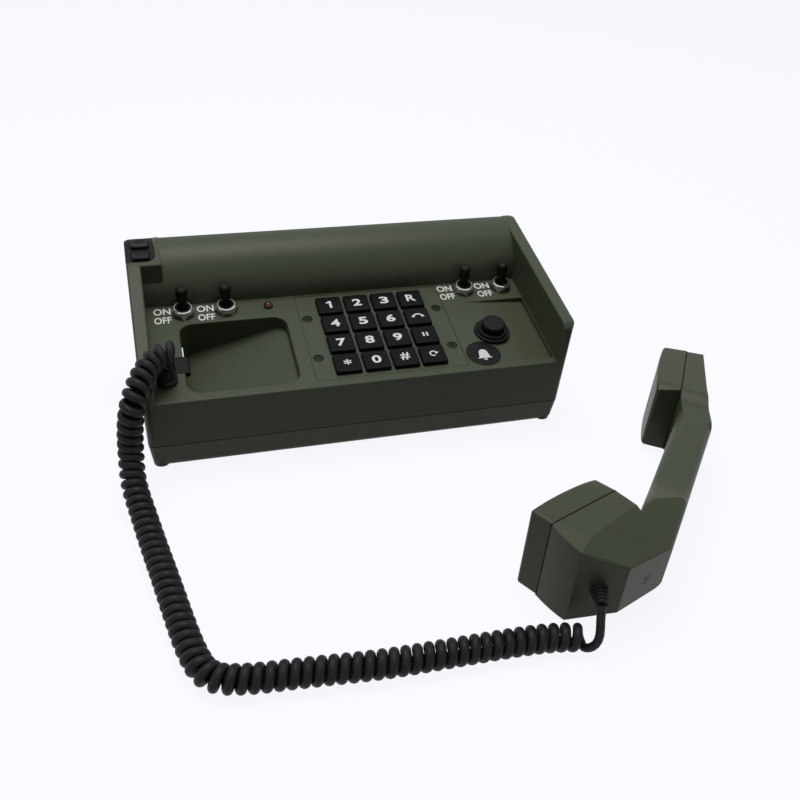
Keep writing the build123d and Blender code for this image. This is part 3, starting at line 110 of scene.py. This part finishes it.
# The route, in millimetres from the middle of the base's foot: tail, axis of the coil, tail.
BASE_SHIFT = Vector((-43.335, 83.265, 0.0))
GLAND_TOP = (-108.0, -42.3, 59.1)
BASE_TAIL = [GLAND_TOP, (-107.5, -41.6, 60.6), (-106.1, -39.5, 62.2), (-104.8, -37.4, 63.9)]
COIL = [
    (-103.4, -40.6, 67.8), (-106.8, -41.0, 67.9), (-111.4, -42.8, 67.4), (-116.2, -47.2, 66.2),
    (-121.6, -57.4, 63.8), (-126.6, -66.8, 57.0), (-129.5, -67.6, 42.0), (-130.8, -69.0, 25.0),
    (-131.2, -80.0, 14.0), (-127.6, -98.0, 9.2), (-123.6, -121.0, 7.1), (-119.4, -144.5, 7.2),
    (-115.0, -171.0, 7.1), (-111.2, -191.0, 7.2), (-106.0, -204.6, 7.1), (-92.0, -209.2, 7.2),
    (-62.0, -211.4, 7.1), (-30.0, -214.8, 7.2), (2.0, -215.4, 7.1), (34.0, -216.2, 7.2),
    (54.0, -217.6, 7.1), (66.0, -220.6, 7.2),
]
HANDSET_TAIL = [
    (65.1, -222.9, 2.9), (66.8, -225.2, 4.5), (69.3, -226.5, 8.2), (70.6, -225.6, 13.6),
    (70.8, -222.4, 19.8), (72.784, -217.625, 24.75),
]


def in_frame(points):
    """Points of the cord's route, measured from the base, in the frame's metres."""
    return [(Vector(p) + BASE_SHIFT) * MM for p in points]


def mesh_of(name, curve):
    """The mesh that Blender makes of a curve or of text, which is then dropped."""
    carrier = bpy.data.objects.new(name, curve)
    scene.collection.objects.link(carrier)
    shown = carrier.evaluated_get(bpy.context.evaluated_depsgraph_get())
    mesh = bpy.data.meshes.new_from_object(shown)
    bpy.data.objects.remove(carrier)
    bpy.data.curves.remove(curve)
    mesh.name = name
    return mesh


def smooth_line(name, points, bevel=0.0, fine=2, thickness=()):
    """The mesh of a NURBS line through control points: a bare line, or with a bevel a tube."""
    curve = bpy.data.curves.new(name, "CURVE")
    curve.dimensions = "3D"
    line = curve.splines.new("NURBS")
    line.points.add(len(points) - 1)
    for place, point in zip(line.points, points):
        place.co = (*point, 1.0)
    for place, share in zip(line.points, thickness):
        place.radius = share
    line.order_u = 3
    line.use_endpoint_u = True
    line.resolution_u = fine
    curve.bevel_depth = bevel
    curve.bevel_resolution = 4
    curve.use_fill_caps = bevel > 0
    return mesh_of(name, curve)


def evenly(points, count):
    """The same line as this many points, evenly spaced along it, and its length."""
    line = np.array([tuple(p) for p in points])
    at = np.concatenate([[0], np.cumsum(np.linalg.norm(np.diff(line, axis=0), axis=1))])
    even = np.linspace(0, at[-1], count)
    return np.stack([np.interp(even, at, line[:, k]) for k in range(3)], axis=1), at[-1]


def pitch_at(share):
    """Distance between neighbouring turns, by how far along the coil."""
    hanging = LOOSER_BY * math.exp(-((share - LOOSER_AT) / LOOSER_OVER) ** 2)
    last = LAST_LOOSER_BY * math.exp(-(1 - share) / LAST_LOOSER_OVER)
    return PITCH + hanging + last


def coil_radius_at(share):
    """Radius of a turn, by how far along the coil."""
    pulled = math.exp(-((share / FIRST_TURN_OVER) ** 2))
    return COIL_WIRE_R + (FIRST_TURN_R - COIL_WIRE_R) * pulled


def helix(axis_points):
    """Control points of the left-handed winding along the coil's axis."""
    line = smooth_line("coil_axis", axis_points, fine=16)
    axis, length = evenly([v.co for v in line.vertices], AXIS_POINTS)
    step = length / (len(axis) - 1)
    ahead = np.gradient(axis, axis=0)
    ahead /= np.linalg.norm(ahead, axis=1)[:, None]
    gained = [step / pitch_at(i / len(axis)) for i in range(len(axis) - 1)]
    turns = np.concatenate([[0], np.cumsum(gained)])
    turns *= (round(turns[-1] - END_PHASE) + END_PHASE) / turns[-1]
    marks = np.interp(np.arange(0, turns[-1], 1 / POINTS_PER_TURN), turns, np.arange(len(axis)))
    out = []
    side = Vector((0, 0, -1))
    last_ahead = Vector(ahead[0])
    for number, mark in enumerate(marks):
        low = int(mark)
        here = Vector(axis[low]).lerp(Vector(axis[min(low + 1, len(axis) - 1)]), mark - low)
        now_ahead = Vector(ahead[low])
        side.rotate(last_ahead.rotation_difference(now_ahead))
        side = (side - now_ahead * side.dot(now_ahead)).normalized()
        last_ahead = now_ahead
        angle = -2 * math.pi * (number / POINTS_PER_TURN + START_PHASE)
        reach = Matrix.Rotation(angle, 3, now_ahead) @ side
        out.append(here + reach * coil_radius_at(mark / len(axis)) / SQUEEZE)
    return out


winding = helix(in_frame(COIL))
wire_points = in_frame(BASE_TAIL) + winding + in_frame(HANDSET_TAIL)
fattened = [1.0] * len(BASE_TAIL)
for number in range(len(winding)):
    turns_in = min(number, len(winding) - 1 - number) / POINTS_PER_TURN
    fattened.append(1.0 + (WOUND_WIRE_R / WIRE_R - 1.0) * min(1.0, turns_in / FATTENS_OVER))
fattened += [1.0] * len(HANDSET_TAIL)
wire_line = [v.co.copy() for v in smooth_line("wire_line", wire_points).vertices]
curly_cord = bpy.data.objects.new(
    "curly_cord", smooth_line("curly_cord", wire_points, bevel=WIRE_R, thickness=fattened))
scene.collection.objects.link(curly_cord)
for face in curly_cord.data.polygons:
    face.use_smooth = True


def linear(colour):
    """A hex sRGB colour as the linear RGBA that a socket takes."""
    parts = [int(colour[i:i + 2], 16) / 255 for i in (1, 3, 5)]
    return [c / 12.92 if c <= 0.04045 else ((c + 0.055) / 1.055) ** 2.4 for c in parts] + [1.0]


def node(tree, kind, inputs=None, **settings):
    """Add one shader node; inputs are socket values, or other nodes' outputs to link."""
    made = tree.nodes.new("ShaderNode" + kind)
    for name, value in settings.items():
        setattr(made, name, value)
    for name, value in (inputs or {}).items():
        if isinstance(value, bpy.types.NodeSocket):
            tree.links.new(value, made.inputs[name])
        else:
            made.inputs[name].default_value = value
    return made


def new_material(name):
    """A material and its empty node tree."""
    material = bpy.data.materials.new(name)
    material.use_nodes = True
    material.node_tree.nodes.clear()
    return material, material.node_tree


GRAIN_DEPTH = 0.08 * MM        # from the grain's hills to its hollows
GLOSS_VARIES = 0.06            # roughness, up and down, between hills and hollows


def moulded(name, colour, worn, grain_mm, roughness, bump, blotch_mm=22.0, specular=0.5,
            coat=0.0):
    """A moulded plastic or rubber: grain in the surface, faint blotches between two colours.

    A mould's real grain is about 0.1 mm wide, too fine to show, so grain_mm is ten times that or
    more.
    """
    material, tree = new_material(name)
    place = node(tree, "TexCoord").outputs["Object"]
    blotch = node(tree, "TexNoise", {
        "Vector": place, "Scale": 1 / (blotch_mm * MM), "Detail": 4.0, "Roughness": 0.55,
    })
    grain = node(tree, "TexNoise", {"Vector": place, "Scale": 1 / (grain_mm * MM), "Detail": 2.0})
    tint = node(tree, "ValToRGB", {"Fac": blotch.outputs["Fac"]})
    tint.color_ramp.elements[0].position = 0.25
    tint.color_ramp.elements[1].position = 0.75
    tint.color_ramp.elements[0].color = linear(colour)
    tint.color_ramp.elements[1].color = linear(worn)
    gloss = node(tree, "MapRange", {
        "Value": grain.outputs["Fac"], "From Min": 0.3, "From Max": 0.7,
        "To Min": roughness - GLOSS_VARIES, "To Max": roughness + GLOSS_VARIES,
    })
    relief = node(tree, "Bump", {
        "Height": grain.outputs["Fac"], "Strength": bump, "Distance": GRAIN_DEPTH,
    })
    shader = node(tree, "BsdfPrincipled", {
        "Base Color": tint.outputs["Color"], "Roughness": gloss.outputs["Result"],
        "Normal": relief.outputs["Normal"], "IOR": 1.5, "Specular IOR Level": specular,
        "Coat Weight": coat, "Coat Roughness": 0.12,
    })
    node(tree, "OutputMaterial", {"Surface": shader.outputs["BSDF"]})
    return material


# Extruded PVC with a matt skin: a dull black that turns grey only along the top of each turn.
cord_pvc = moulded("matt_black_pvc", "#121314", "#1b1c1d", grain_mm=1.6, roughness=0.5, bump=0.25,
                   blotch_mm=9.0, specular=0.2)
curly_cord.data.materials.append(cord_pvc)
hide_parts("cord_tail_base", "cord_coil", "cord_tail_handset")
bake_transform(curly_cord)


# ------------------------------------------------------------------ base housing
# Upper shell, tray, keypad plate and battery cover are injection-moulded ABS, olive through and
# through.  The mould is spark-eroded, which gives the eye a fine even grain and a satin sheen.
def finish_nodes(material, *names):
    """Give CAD nodes one material."""
    for name in names:
        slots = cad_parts[name].data.materials
        slots.clear()
        slots.append(material)


olive_abs = moulded("olive_moulded_abs", "#4b523f", "#505746", grain_mm=0.9, roughness=0.42,
                    bump=0.3, specular=0.2)
finish_nodes(olive_abs, "upper_housing", "lower_tray", "keypad_plate", "battery_cover")

# ------------------------------------------------------------------ handset
# A one-piece handle with a cap over each end, in the same ABS from another mould.  That mould is
# finer, so the handset looks a little smoother and darker than the base.
handset_abs = moulded("handset_moulded_abs", "#484f3b", "#4d5442", grain_mm=0.9, roughness=0.4,
                      bump=0.25, specular=0.2)
finish_nodes(handset_abs, "handset_body", "transmitter_cap", "receiver_cap")

# ------------------------------------------------------------------ painted shade in the joints of the handset's caps
# Where each cap meets the handle, a thin black ring cut to the outline of the handle's end stands
# in
# the joint: painted shade for the dark gap there.  It shows as a dark line round the joint.
HANDSET_AT = Vector((115.0, -202.3, 24.75)) + BASE_SHIFT
HANDSET_TURN = math.radians(49)
HANDSET_PLACE = Matrix.Translation(HANDSET_AT) @ Matrix.Rotation(HANDSET_TURN, 4, "Z")
SEAMS = {                      # the two ends of each joint, in the handset's own plan
    "transmitter": ((-26.1, 54.4), (12.4, 33.9)),
    "receiver": ((120.4, 22.5), (164.4, 27.7)),
}
SEAM_SHADE_IN = 0.2                # how far into the handle the outline is taken
SEAM_SHADE_END = 0.6               # how far past the joint's ends it may run
SEAM_SHADE_WIDE = 0.75
SEAM_SHADE_THICK = 0.5
SEAM_SHADE_PROUD = 1.0025          # its size against the outline's: about 0.05 mm proud all round
ONE_CORNER = 1e-6              # metres: corners of a CAD mesh nearer than this are one
ON_PLANE = 1e-7                # metres: corners nearer than this to a cutting plane are on it


def put_mesh(name, mesh, place, body, material):
    """A finished piece at the origin, its place in its mesh, riding on a body."""
    mesh.transform(place)
    piece = bpy.data.objects.new(name, mesh)
    scene.collection.objects.link(piece)
    mesh.materials.clear()
    mesh.materials.append(material)
    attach(piece, body)
    return piece


def as_mesh(name, grown):
    """The mesh of a finished bmesh, which is then dropped."""
    mesh = bpy.data.meshes.new(name)
    grown.to_mesh(mesh)
    grown.free()
    return mesh


def joined_to(start):
    """Every vertex that edges connect with this one."""
    found, waiting = {start}, [start]
    while waiting:
        for edge in waiting.pop().link_edges:
            for corner in edge.verts:
                if corner not in found:
                    found.add(corner)
                    waiting.append(corner)
    return found


def line_length(corners):
    """Twice the length of the edges that join these corners."""
    return sum(edge.calc_length() for corner in corners for edge in corner.link_edges)


def seam_shade_ring(end, seam):
    """A dark ring as wide as the joint's gap, painted shade for it: the handle's outline there,
    drawn out to the cap.
    """
    first, second = [HANDSET_PLACE @ Vector((*p, 0.0)) * MM for p in seam]
    along = (second - first).normalized()
    out = (second - first).cross(Vector((0, 0, 1))).normalized()
    low, high = [Vector(corner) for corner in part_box(f"{end}_cap")]
    if ((low + high) / 2 - first).dot(out) < 0:
        out = -out

    # cut the handle off past the joint's ends, then keep only the cut across it
    grown = bmesh.new()
    grown.from_mesh(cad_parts["handset_body"].data)
    bmesh.ops.remove_doubles(grown, verts=grown.verts, dist=ONE_CORNER)
    for at, away, cut_alone in (
            (first - along * SEAM_SHADE_END * MM, -along, False),
            (second + along * SEAM_SHADE_END * MM, along, False),
            (first - out * SEAM_SHADE_IN * MM, out, True)):
        everything = grown.verts[:] + grown.edges[:] + grown.faces[:]
        bmesh.ops.bisect_plane(grown, geom=everything, dist=ON_PLANE, plane_co=at,
                               plane_no=away, clear_inner=cut_alone, clear_outer=True)

    # the longest line of the cut is the handle's outline
    lines = []
    for corner in grown.verts:
        if not any(corner in line for line in lines):
            lines.append(joined_to(corner))
    outline = max(lines, key=line_length)
    inner = [corner for corner in grown.verts if corner not in outline]
    bmesh.ops.delete(grown, geom=inner, context="VERTS")

    centre = sum((corner.co for corner in grown.verts), Vector()) / len(grown.verts)
    bmesh.ops.scale(grown, verts=grown.verts, vec=[SEAM_SHADE_PROUD] * 3,
                    space=Matrix.Translation(-centre))
    drawn = bmesh.ops.extrude_edge_only(grown, edges=grown.edges[:])["geom"]
    moved = [item for item in drawn if isinstance(item, bmesh.types.BMVert)]
    bmesh.ops.translate(grown, verts=moved, vec=out * SEAM_SHADE_WIDE * MM)
    bmesh.ops.recalc_face_normals(grown, faces=grown.faces)
    bmesh.ops.solidify(grown, geom=grown.faces[:], thickness=SEAM_SHADE_THICK * MM)
    bmesh.ops.recalc_face_normals(grown, faces=grown.faces)
    return as_mesh(f"{end}_gasket", grown)


# A dull black that takes no highlight: painted shade for the gap in each cap's joint.
seam_shade_material = moulded("painted_seam_shade", "#0a0a0a", "#101010", grain_mm=1.2, roughness=0.65,
                        bump=0.2, specular=0.1)
for end, seam in SEAMS.items():
    ring = put_mesh(f"{end}_gasket", seam_shade_ring(end, seam), Matrix(), "handset", seam_shade_material)

# ------------------------------------------------------------------ keys and their legends
# Sixteen double-shot caps that stand through the keypad plate: black ABS from a polished mould,
# with the legend moulded through it in white, so that it can't wear off.
PANEL_FOOT = Vector((0.0, -57.7, 47.5))     # middle of the sloping panel's front edge
PANEL_UP = Vector((0.0, 0.98755, 0.15730))  # up the slope
PANEL_OUT = Vector((0.0, -0.15730, 0.98755))
KEYPAD_CENTRE = (17.2, 40.8)                # across the panel and up its slope
KEY_PITCH = 17.0
KEY_TOP = 2.6                               # above the panel
KEY_ROWS = [
    ["key_star", "key_0", "key_hash", "key_redial"],
    ["key_7", "key_8", "key_9", "key_pause"],
    ["key_4", "key_5", "key_6", "key_hangup"],
    ["key_1", "key_2", "key_3", "key_recall"],
]
MIDDLE_KEY = (len(KEY_ROWS) - 1) / 2
LEGEND_THICK = 0.05
LEGEND_PROUD = 0.03                         # so that the two shots don't share a plane


def on_panel(across, up, height):
    """The frame's matrix for a place on the panel: x across, y up the slope, z out of it."""
    turn = Matrix(((1, 0, 0), tuple(PANEL_UP), tuple(PANEL_OUT))).transposed().to_4x4()
    at = PANEL_FOOT + Vector((across, 0, 0)) + PANEL_UP * up + PANEL_OUT * height + BASE_SHIFT
    return Matrix.Translation(at * MM) @ turn


def lettering(name, words, wide, tall, bold, thick=LEGEND_THICK):
    """Words as a mesh of this width and height in millimetres, centred, their top at z = 0."""
    curve = bpy.data.curves.new(name, "FONT")
    curve.body = words
    curve.offset = bold
    curve.extrude = thick / tall
    curve.resolution_u = 4
    mesh = mesh_of(name, curve)
    corners = np.array([tuple(v.co) for v in mesh.vertices])
    low, high = corners.min(axis=0), corners.max(axis=0)
    size = high - low
    mesh.transform(Matrix.Translation((*(-(low + high) / 2)[:2], -high[2])))
    mesh.transform(Matrix.Diagonal(
        (wide * MM / size[0], tall * MM / size[1], thick * MM / size[2], 1.0)))
    return mesh


def icon(name, outlines, thick=LEGEND_THICK):
    """The mesh of a mark made of flat plates, outlined in millimetres, its top at z = 0."""
    grown = bmesh.new()
    for outline in outlines:
        face = grown.faces.new([grown.verts.new((x * MM, y * MM, -thick * MM)) for x, y in outline])
        raised = bmesh.ops.extrude_face_region(grown, geom=[face])["geom"]
        moved = [item for item in raised if isinstance(item, bmesh.types.BMVert)]
        bmesh.ops.translate(grown, verts=moved, vec=(0, 0, thick * MM))
    bmesh.ops.recalc_face_normals(grown, faces=grown.faces)
    return as_mesh(name, grown)


def arc(centre, radius, start, end, steps=10):
    """Points along an arc, angles in degrees."""
    turns = [math.radians(start + (end - start) * i / steps) for i in range(steps + 1)]
    return [(centre[0] + radius * math.cos(t), centre[1] + radius * math.sin(t)) for t in turns]


HANG_UP = [                    # a handset lying flat
    arc((0, -1.6), 3.6, 20, 160) + arc((0, -1.6), 2.5, 145, 35),
    [(-4.1, -1.2), (-2.0, -1.2), (-2.0, 0.5), (-3.4, 0.5)],
    [(2.0, -1.2), (4.1, -1.2), (3.4, 0.5), (2.0, 0.5)],
]
PAUSE = [                      # two bars
    [(-1.7, -1.7), (-0.6, -1.7), (-0.6, 1.7), (-1.7, 1.7)],
    [(0.6, -1.7), (1.7, -1.7), (1.7, 1.7), (0.6, 1.7)],
]
REDIAL = [                     # an arrow that runs round
    arc((0, 0), 2.3, 20, 300) + arc((0, 0), 1.4, 300, 20),
    [(0.7, 1.1), (3.4, 1.1), (2.0, -0.9)],
]
ONE = [                        # the digit, with a flag at its top
    [(-0.2, -3.1), (1.3, -3.1), (1.3, 3.1), (0.1, 3.1), (-1.8, 2.1), (-1.8, 0.9), (-0.2, 1.6)],
]
ICONS = {"key_hangup": HANG_UP, "key_pause": PAUSE, "key_redial": REDIAL, "key_1": ONE}
DIGIT = (5.5, 6.3, 0.03)       # width, height and boldness
LETTERS = {
    "key_star": ("*", 4.6, 4.4, 0.015),
    "key_hash": ("#", 5.6, 6.2, 0.015),
    "key_recall": ("R", 5.8, 6.2, 0.02),
}

# Polished and second-shot ABS: deep black with a clean highlight, and a flat bright white.
gloss_abs = moulded("polished_black_abs", "#070807", "#0b0c0b", grain_mm=1.2, roughness=0.3,
                    bump=0.02, specular=0.08)
legend_abs = moulded("white_abs_second_shot", "#fbfcfa", "#ffffff", grain_mm=1.2, roughness=0.45,
                     bump=0.1)
for row, keys in enumerate(KEY_ROWS):
    for column, key in enumerate(keys):
        finish_nodes(gloss_abs, key)
        across = KEYPAD_CENTRE[0] + (column - MIDDLE_KEY) * KEY_PITCH
        up = KEYPAD_CENTRE[1] + (row - MIDDLE_KEY) * KEY_PITCH
        name = "legend_" + key
        if key in ICONS:
            mesh = icon(name, ICONS[key])
        else:
            digit = key.removeprefix("key_")
            mesh = lettering(name, *LETTERS.get(key, (digit, *DIGIT)))
        put_mesh(name, mesh, on_panel(across, up, KEY_TOP + LEGEND_PROUD), key, legend_abs)


# ------------------------------------------------------------------ toggle switches
# Four bought switches, each clamped in the panel by its nut: nickel-plated brass bush, a rubber
# seal in it and a black phenolic lever.  Two words are screen-printed in white left of each.
def metal(name, colour, shade, roughness, scratch_mm):
    """A plated or bright metal with faint tool marks, drawn wider than real so that they show."""
    material, tree = new_material(name)
    place = node(tree, "TexCoord").outputs["Object"]
    marks = node(tree, "TexNoise", {
        "Vector": place, "Scale": 1 / (scratch_mm * MM), "Detail": 3.0,
    })
    tint = node(tree, "ValToRGB", {"Fac": marks.outputs["Fac"]})
    tint.color_ramp.elements[0].color = linear(shade)
    tint.color_ramp.elements[1].color = linear(colour)
    gloss = node(tree, "MapRange", {
        "Value": marks.outputs["Fac"], "To Min": roughness - 0.08, "To Max": roughness + 0.1,
    })
    shader = node(tree, "BsdfPrincipled", {
        "Base Color": tint.outputs["Color"], "Roughness": gloss.outputs["Result"],
        "Metallic": 1.0,
    })
    node(tree, "OutputMaterial", {"Surface": shader.outputs["BSDF"]})
    return material


TOGGLE_ACROSS = (-94.3, -69.3, 79.7, 104.7)
TOGGLE_UP = 72.6
SEAL_OUT_R, SEAL_HOLE_R, SEAL_THICK = 4.7, 3.4, 1.2
SEAL_BULGE = 0.15              # towards the lever, at half its thickness
SEAL_TOP = 4.4                 # above the panel, just under the bush's rim
SEAL_SECTION = [               # radius and height
    (SEAL_OUT_R, 0), (SEAL_HOLE_R, 0), (SEAL_HOLE_R - SEAL_BULGE, -SEAL_THICK / 2),
    (SEAL_HOLE_R, -SEAL_THICK), (SEAL_OUT_R, -SEAL_THICK),
]
RING_STEPS = 40                # round a turned piece
TURNED_CORNER = 1e-7           # metres: where a ring closes, corners nearer than this are one
WORDS = {"ON": 2.6, "OFF": -5.2}   # how far up the panel from the lever
WORD_LEFT = 12.0               # from the lever to the middle of its words
WORD_SIZE = (9.8, 5.6, 0.015)  # width, height and boldness

# Bright plating on the bushes, duller on the nuts, and two blacks: satin lever, dull seal.
nickel = metal("nickel_plated_brass", "#d9d6ce", "#b5b0a6", roughness=0.24, scratch_mm=1.2)
dull_nickel = metal("nickel_plated_nut", "#6a6861", "#4f4d48", roughness=0.38, scratch_mm=1.0)
lever_black = moulded("black_phenolic", "#12140f", "#181a14", grain_mm=1.4, roughness=0.4,
                      bump=0.1, specular=0.12)
seal_rubber = moulded("black_nitrile_rubber", "#0a0a0a", "#101010", grain_mm=1.2, roughness=0.65,
                      bump=0.3, specular=0.15)
# Screen-printed ink lies on the grain of what it is printed on, flat and white.
white_ink = moulded("white_screen_print", "#f8f9f6", "#fdfdfb", grain_mm=0.8, roughness=0.6,
                    bump=0.1)
finish_nodes(nickel, "toggle_bodies")
finish_nodes(dull_nickel, "toggle_nuts")


def turned(name, section):
    """A ring spun round z from its section, given as radius and height in millimetres."""
    grown = bmesh.new()
    corners = [grown.verts.new((x * MM, 0, z * MM)) for x, z in section]
    edges = [grown.edges.new((a, b)) for a, b in zip(corners, corners[1:] + corners[:1])]
    bmesh.ops.spin(grown, geom=corners + edges, cent=(0, 0, 0), axis=(0, 0, 1), angle=2 * math.pi,
                   steps=RING_STEPS, use_merge=True, use_duplicate=False)
    bmesh.ops.remove_doubles(grown, verts=grown.verts, dist=TURNED_CORNER)
    bmesh.ops.recalc_face_normals(grown, faces=grown.faces)
    return as_mesh(name, grown)


for number, across in enumerate(TOGGLE_ACROSS, start=1):
    finish_nodes(lever_black, f"toggle_lever_{number}")
    name = f"toggle_seal_{number}"
    seal = put_mesh(name, turned(name, SEAL_SECTION), on_panel(across, TOGGLE_UP, SEAL_TOP),
                    "base", seal_rubber)
    for word, up in WORDS.items():
        name = f"mark_{word.lower()}_{number}"
        place = on_panel(across - WORD_LEFT, TOGGLE_UP + up, LEGEND_PROUD)
        put_mesh(name, lettering(name, word, *WORD_SIZE), place, "base", white_ink)

# ------------------------------------------------------------------ ringing button and its mark
# A black nylon push button in a stepped collar, and beside it an anodised aluminium disc, glued in
# a sunk place and printed with a bell.
DISC_AT = (73.8, 13.5)
DISC_FACE = -0.2               # the disc's face, against the panel
BELL = [
    arc((0, 1.2), 2.6, 0, 180) + [(-3.4, -2.6), (-4.6, -3.6), (4.6, -3.6), (3.4, -2.6)],
    arc((0, -4.2), 1.2, 180, 360),
]

# Nylon has a soft satin sheen; the disc's anodised face is as black and a little flatter.
control_black = moulded("black_nylon", "#0a0b0a", "#0f100f", grain_mm=1.4, roughness=0.42,
                        bump=0.12, specular=0.12)
disc_black = moulded("black_anodised_disc", "#0c0d0b", "#121311", grain_mm=1.0, roughness=0.42,
                     bump=0.1, specular=0.12)
finish_nodes(control_black, "ring_bezel", "ring_cap", "ring_switch")
finish_nodes(disc_black, "label_disc")
put_mesh("mark_bell", icon("mark_bell", BELL), on_panel(*DISC_AT, DISC_FACE + LEGEND_PROUD),
         "base", white_ink)

# ------------------------------------------------------------------ pilot lamp
# A small lens of dyed acrylic, pressed into the panel from behind.  Unlit, it looks dark red
# under a clear gloss.
red_lens = moulded("red_acrylic_lens", "#3a060b", "#4c0c13", grain_mm=3.0, roughness=0.16,
                   bump=0.02, specular=0.3, coat=0.15)
finish_nodes(red_lens, "lamp")

# ------------------------------------------------------------------ cord glands, feet and mat
# Pieces moulded from black rubber: two ribbed glands round the cord's ends, four feet under the
# tray, and the mat under the keys.  All look dull and a little dusty.
matt_rubber = moulded("black_moulded_rubber", "#101110", "#181918", grain_mm=1.4, roughness=0.62,
                      bump=0.3, specular=0.2)
finish_nodes(matt_rubber, "rubber_feet", "panel_gland", "handset_gland", "keypad_mat")

# ------------------------------------------------------------------ hook switch and line terminals
# A nylon paddle that rocks in the cradle's rim, with a strip of spring steel beside it, and two
# nylon push terminals in the corner boss.  The steel is rolled bright and mirrors what is round it.
bright_steel = metal("bright_spring_steel", "#e6e6e2", "#c8c8c4", roughness=0.2, scratch_mm=1.0)
finish_nodes(control_black, "hook_lever", "hook_switch", "terminal_block", "terminal_cap_front",
             "terminal_cap_back")
finish_nodes(bright_steel, "hook_strip", "terminal_pins", "battery_contacts", "housing_screws",
             "board_screws")

# ------------------------------------------------------------------ screws that show
# Steel screws, blackened in hot oxide to a dark soft shine, sunk in the keypad plate and in the
# handset's end.  That last one lies behind a pressed-in cap of the handle's plastic with a hole.
black_steel = metal("blackened_steel", "#30312e", "#222320", roughness=0.45, scratch_mm=1.0)
finish_nodes(black_steel, "keypad_screws", "handset_screws")
CAP_AT = Vector((100.783, -207.299, 24.75))
CAP_OUT = Vector((0.331717, -0.943379, 0.0))
CAP_R, CAP_HOLE_R, CAP_THICK = 3.15, 0.75, 1.0
CAP_SUNK = 0.12                # below the handle's face
RIM_BROKEN, RIM_BROKEN_DEEP = 0.15, 0.2
HOLE_BROKEN = 0.1
CAP_SECTION = [                # radius and height
    (CAP_R, -CAP_THICK), (CAP_R, -RIM_BROKEN_DEEP), (CAP_R - RIM_BROKEN, 0.0),
    (CAP_HOLE_R + HOLE_BROKEN, 0.0), (CAP_HOLE_R, -HOLE_BROKEN), (CAP_HOLE_R, -CAP_THICK),
]
cap_place = Matrix.Translation((CAP_AT - CAP_OUT * CAP_SUNK + BASE_SHIFT) * MM)
cap_place @= CAP_OUT.to_track_quat("Z", "Y").to_matrix().to_4x4()
screw_cap = put_mesh("handset_screw_cap", turned("handset_screw_cap", CAP_SECTION), cap_place,
                     "handset", handset_abs)

# ------------------------------------------------------------------ inside the housings
# Glass-epoxy boards under green lacquer, four cells in blue shrink sleeve, and the two capsules
# and the ringer in black nylon cases.  None of it shows from outside.
board_green = moulded("glass_epoxy_board", "#1d4a2c", "#24553a", grain_mm=3.0, roughness=0.4,
                      bump=0.1)
sleeve = moulded("shrink_sleeve", "#2c3f66", "#33486f", grain_mm=3.0, roughness=0.35, bump=0.05)
finish_nodes(board_green, "main_board", "keypad_board")
finish_nodes(sleeve, "battery_cells")
finish_nodes(control_black, "transmitter_capsule", "receiver_capsule", "ringer")

# ------------------------------------------------------------------ floor, lamp and world
# A sheet of pale paper under one soft lamp, in even pale light from all round.  What the camera
# sees of the sheet and of the world is near white; the light that they give is much less.
BACKDROP = "#fafbff"
FLOOR_HALF = 6.0               # metres, from the middle to each side


def seen_rays(tree):
    """1 for rays that show the backdrop itself: from the camera, or by way of metal or glass."""
    path = node(tree, "LightPath")
    seen = node(tree, "Math", {0: path.outputs["Is Camera Ray"], 1: path.outputs["Is Glossy Ray"]},
                operation="MAXIMUM")
    seen = node(tree, "Math", {0: seen.outputs[0], 1: path.outputs["Is Transmission Ray"]},
                operation="MAXIMUM")
    return seen.outputs[0]


def add_floor():
    """The flat sheet that the telephone stands on, lighter to the eye than to what it lights."""
    grown = bmesh.new()
    bmesh.ops.create_grid(grown, x_segments=1, y_segments=1, size=FLOOR_HALF)
    floor = bpy.data.objects.new("floor", as_mesh("floor", grown))
    scene.collection.objects.link(floor)
    material, tree = new_material("pale_paper")
    lit = node(tree, "BsdfDiffuse", {"Color": linear("#a0a1a3")})
    faint = node(tree, "BsdfDiffuse", {"Color": linear("#5a5b5c")})
    glow = node(tree, "Emission", {"Color": linear(BACKDROP), "Strength": 0.94})
    pale = node(tree, "AddShader", {0: faint.outputs[0], 1: glow.outputs[0]})
    both = node(tree, "MixShader", {"Fac": seen_rays(tree), 1: lit.outputs[0], 2: pale.outputs[0]})
    node(tree, "OutputMaterial", {"Surface": both.outputs[0]})
    floor.data.materials.append(material)


def add_world():
    """Even light from all round, which the camera sees as the pale backdrop."""
    world = bpy.data.worlds.new("studio")
    world.use_nodes = True
    scene.world = world
    tree = world.node_tree
    tree.nodes.clear()
    dim = node(tree, "Background", {"Color": linear("#ffffff"), "Strength": 0.08})
    pale = node(tree, "Background", {"Color": linear(BACKDROP), "Strength": 1.0})
    both = node(tree, "MixShader", {"Fac": seen_rays(tree), 1: dim.outputs[0], 2: pale.outputs[0]})
    node(tree, "OutputWorld", {"Surface": both.outputs[0]})


def add_lamp(name, place, aim, size, watts):
    """A square soft lamp; its place, its aim and its side are in metres."""
    data = bpy.data.lights.new(name, "AREA")
    data.size = size
    data.energy = watts
    lamp = bpy.data.objects.new(name, data)
    ahead = Vector(aim) - Vector(place)
    turn = ahead.to_track_quat("-Z", "Y").to_matrix().to_4x4()
    lamp.matrix_world = Matrix.Translation(place) @ turn
    scene.collection.objects.link(lamp)


add_floor()
add_world()
add_lamp("softbox_above", place=(-0.08, 0.22, 1.3), aim=(0.0, 0.0, 0.0), size=0.7, watts=9.2)
scene.view_settings.view_transform = "Standard"
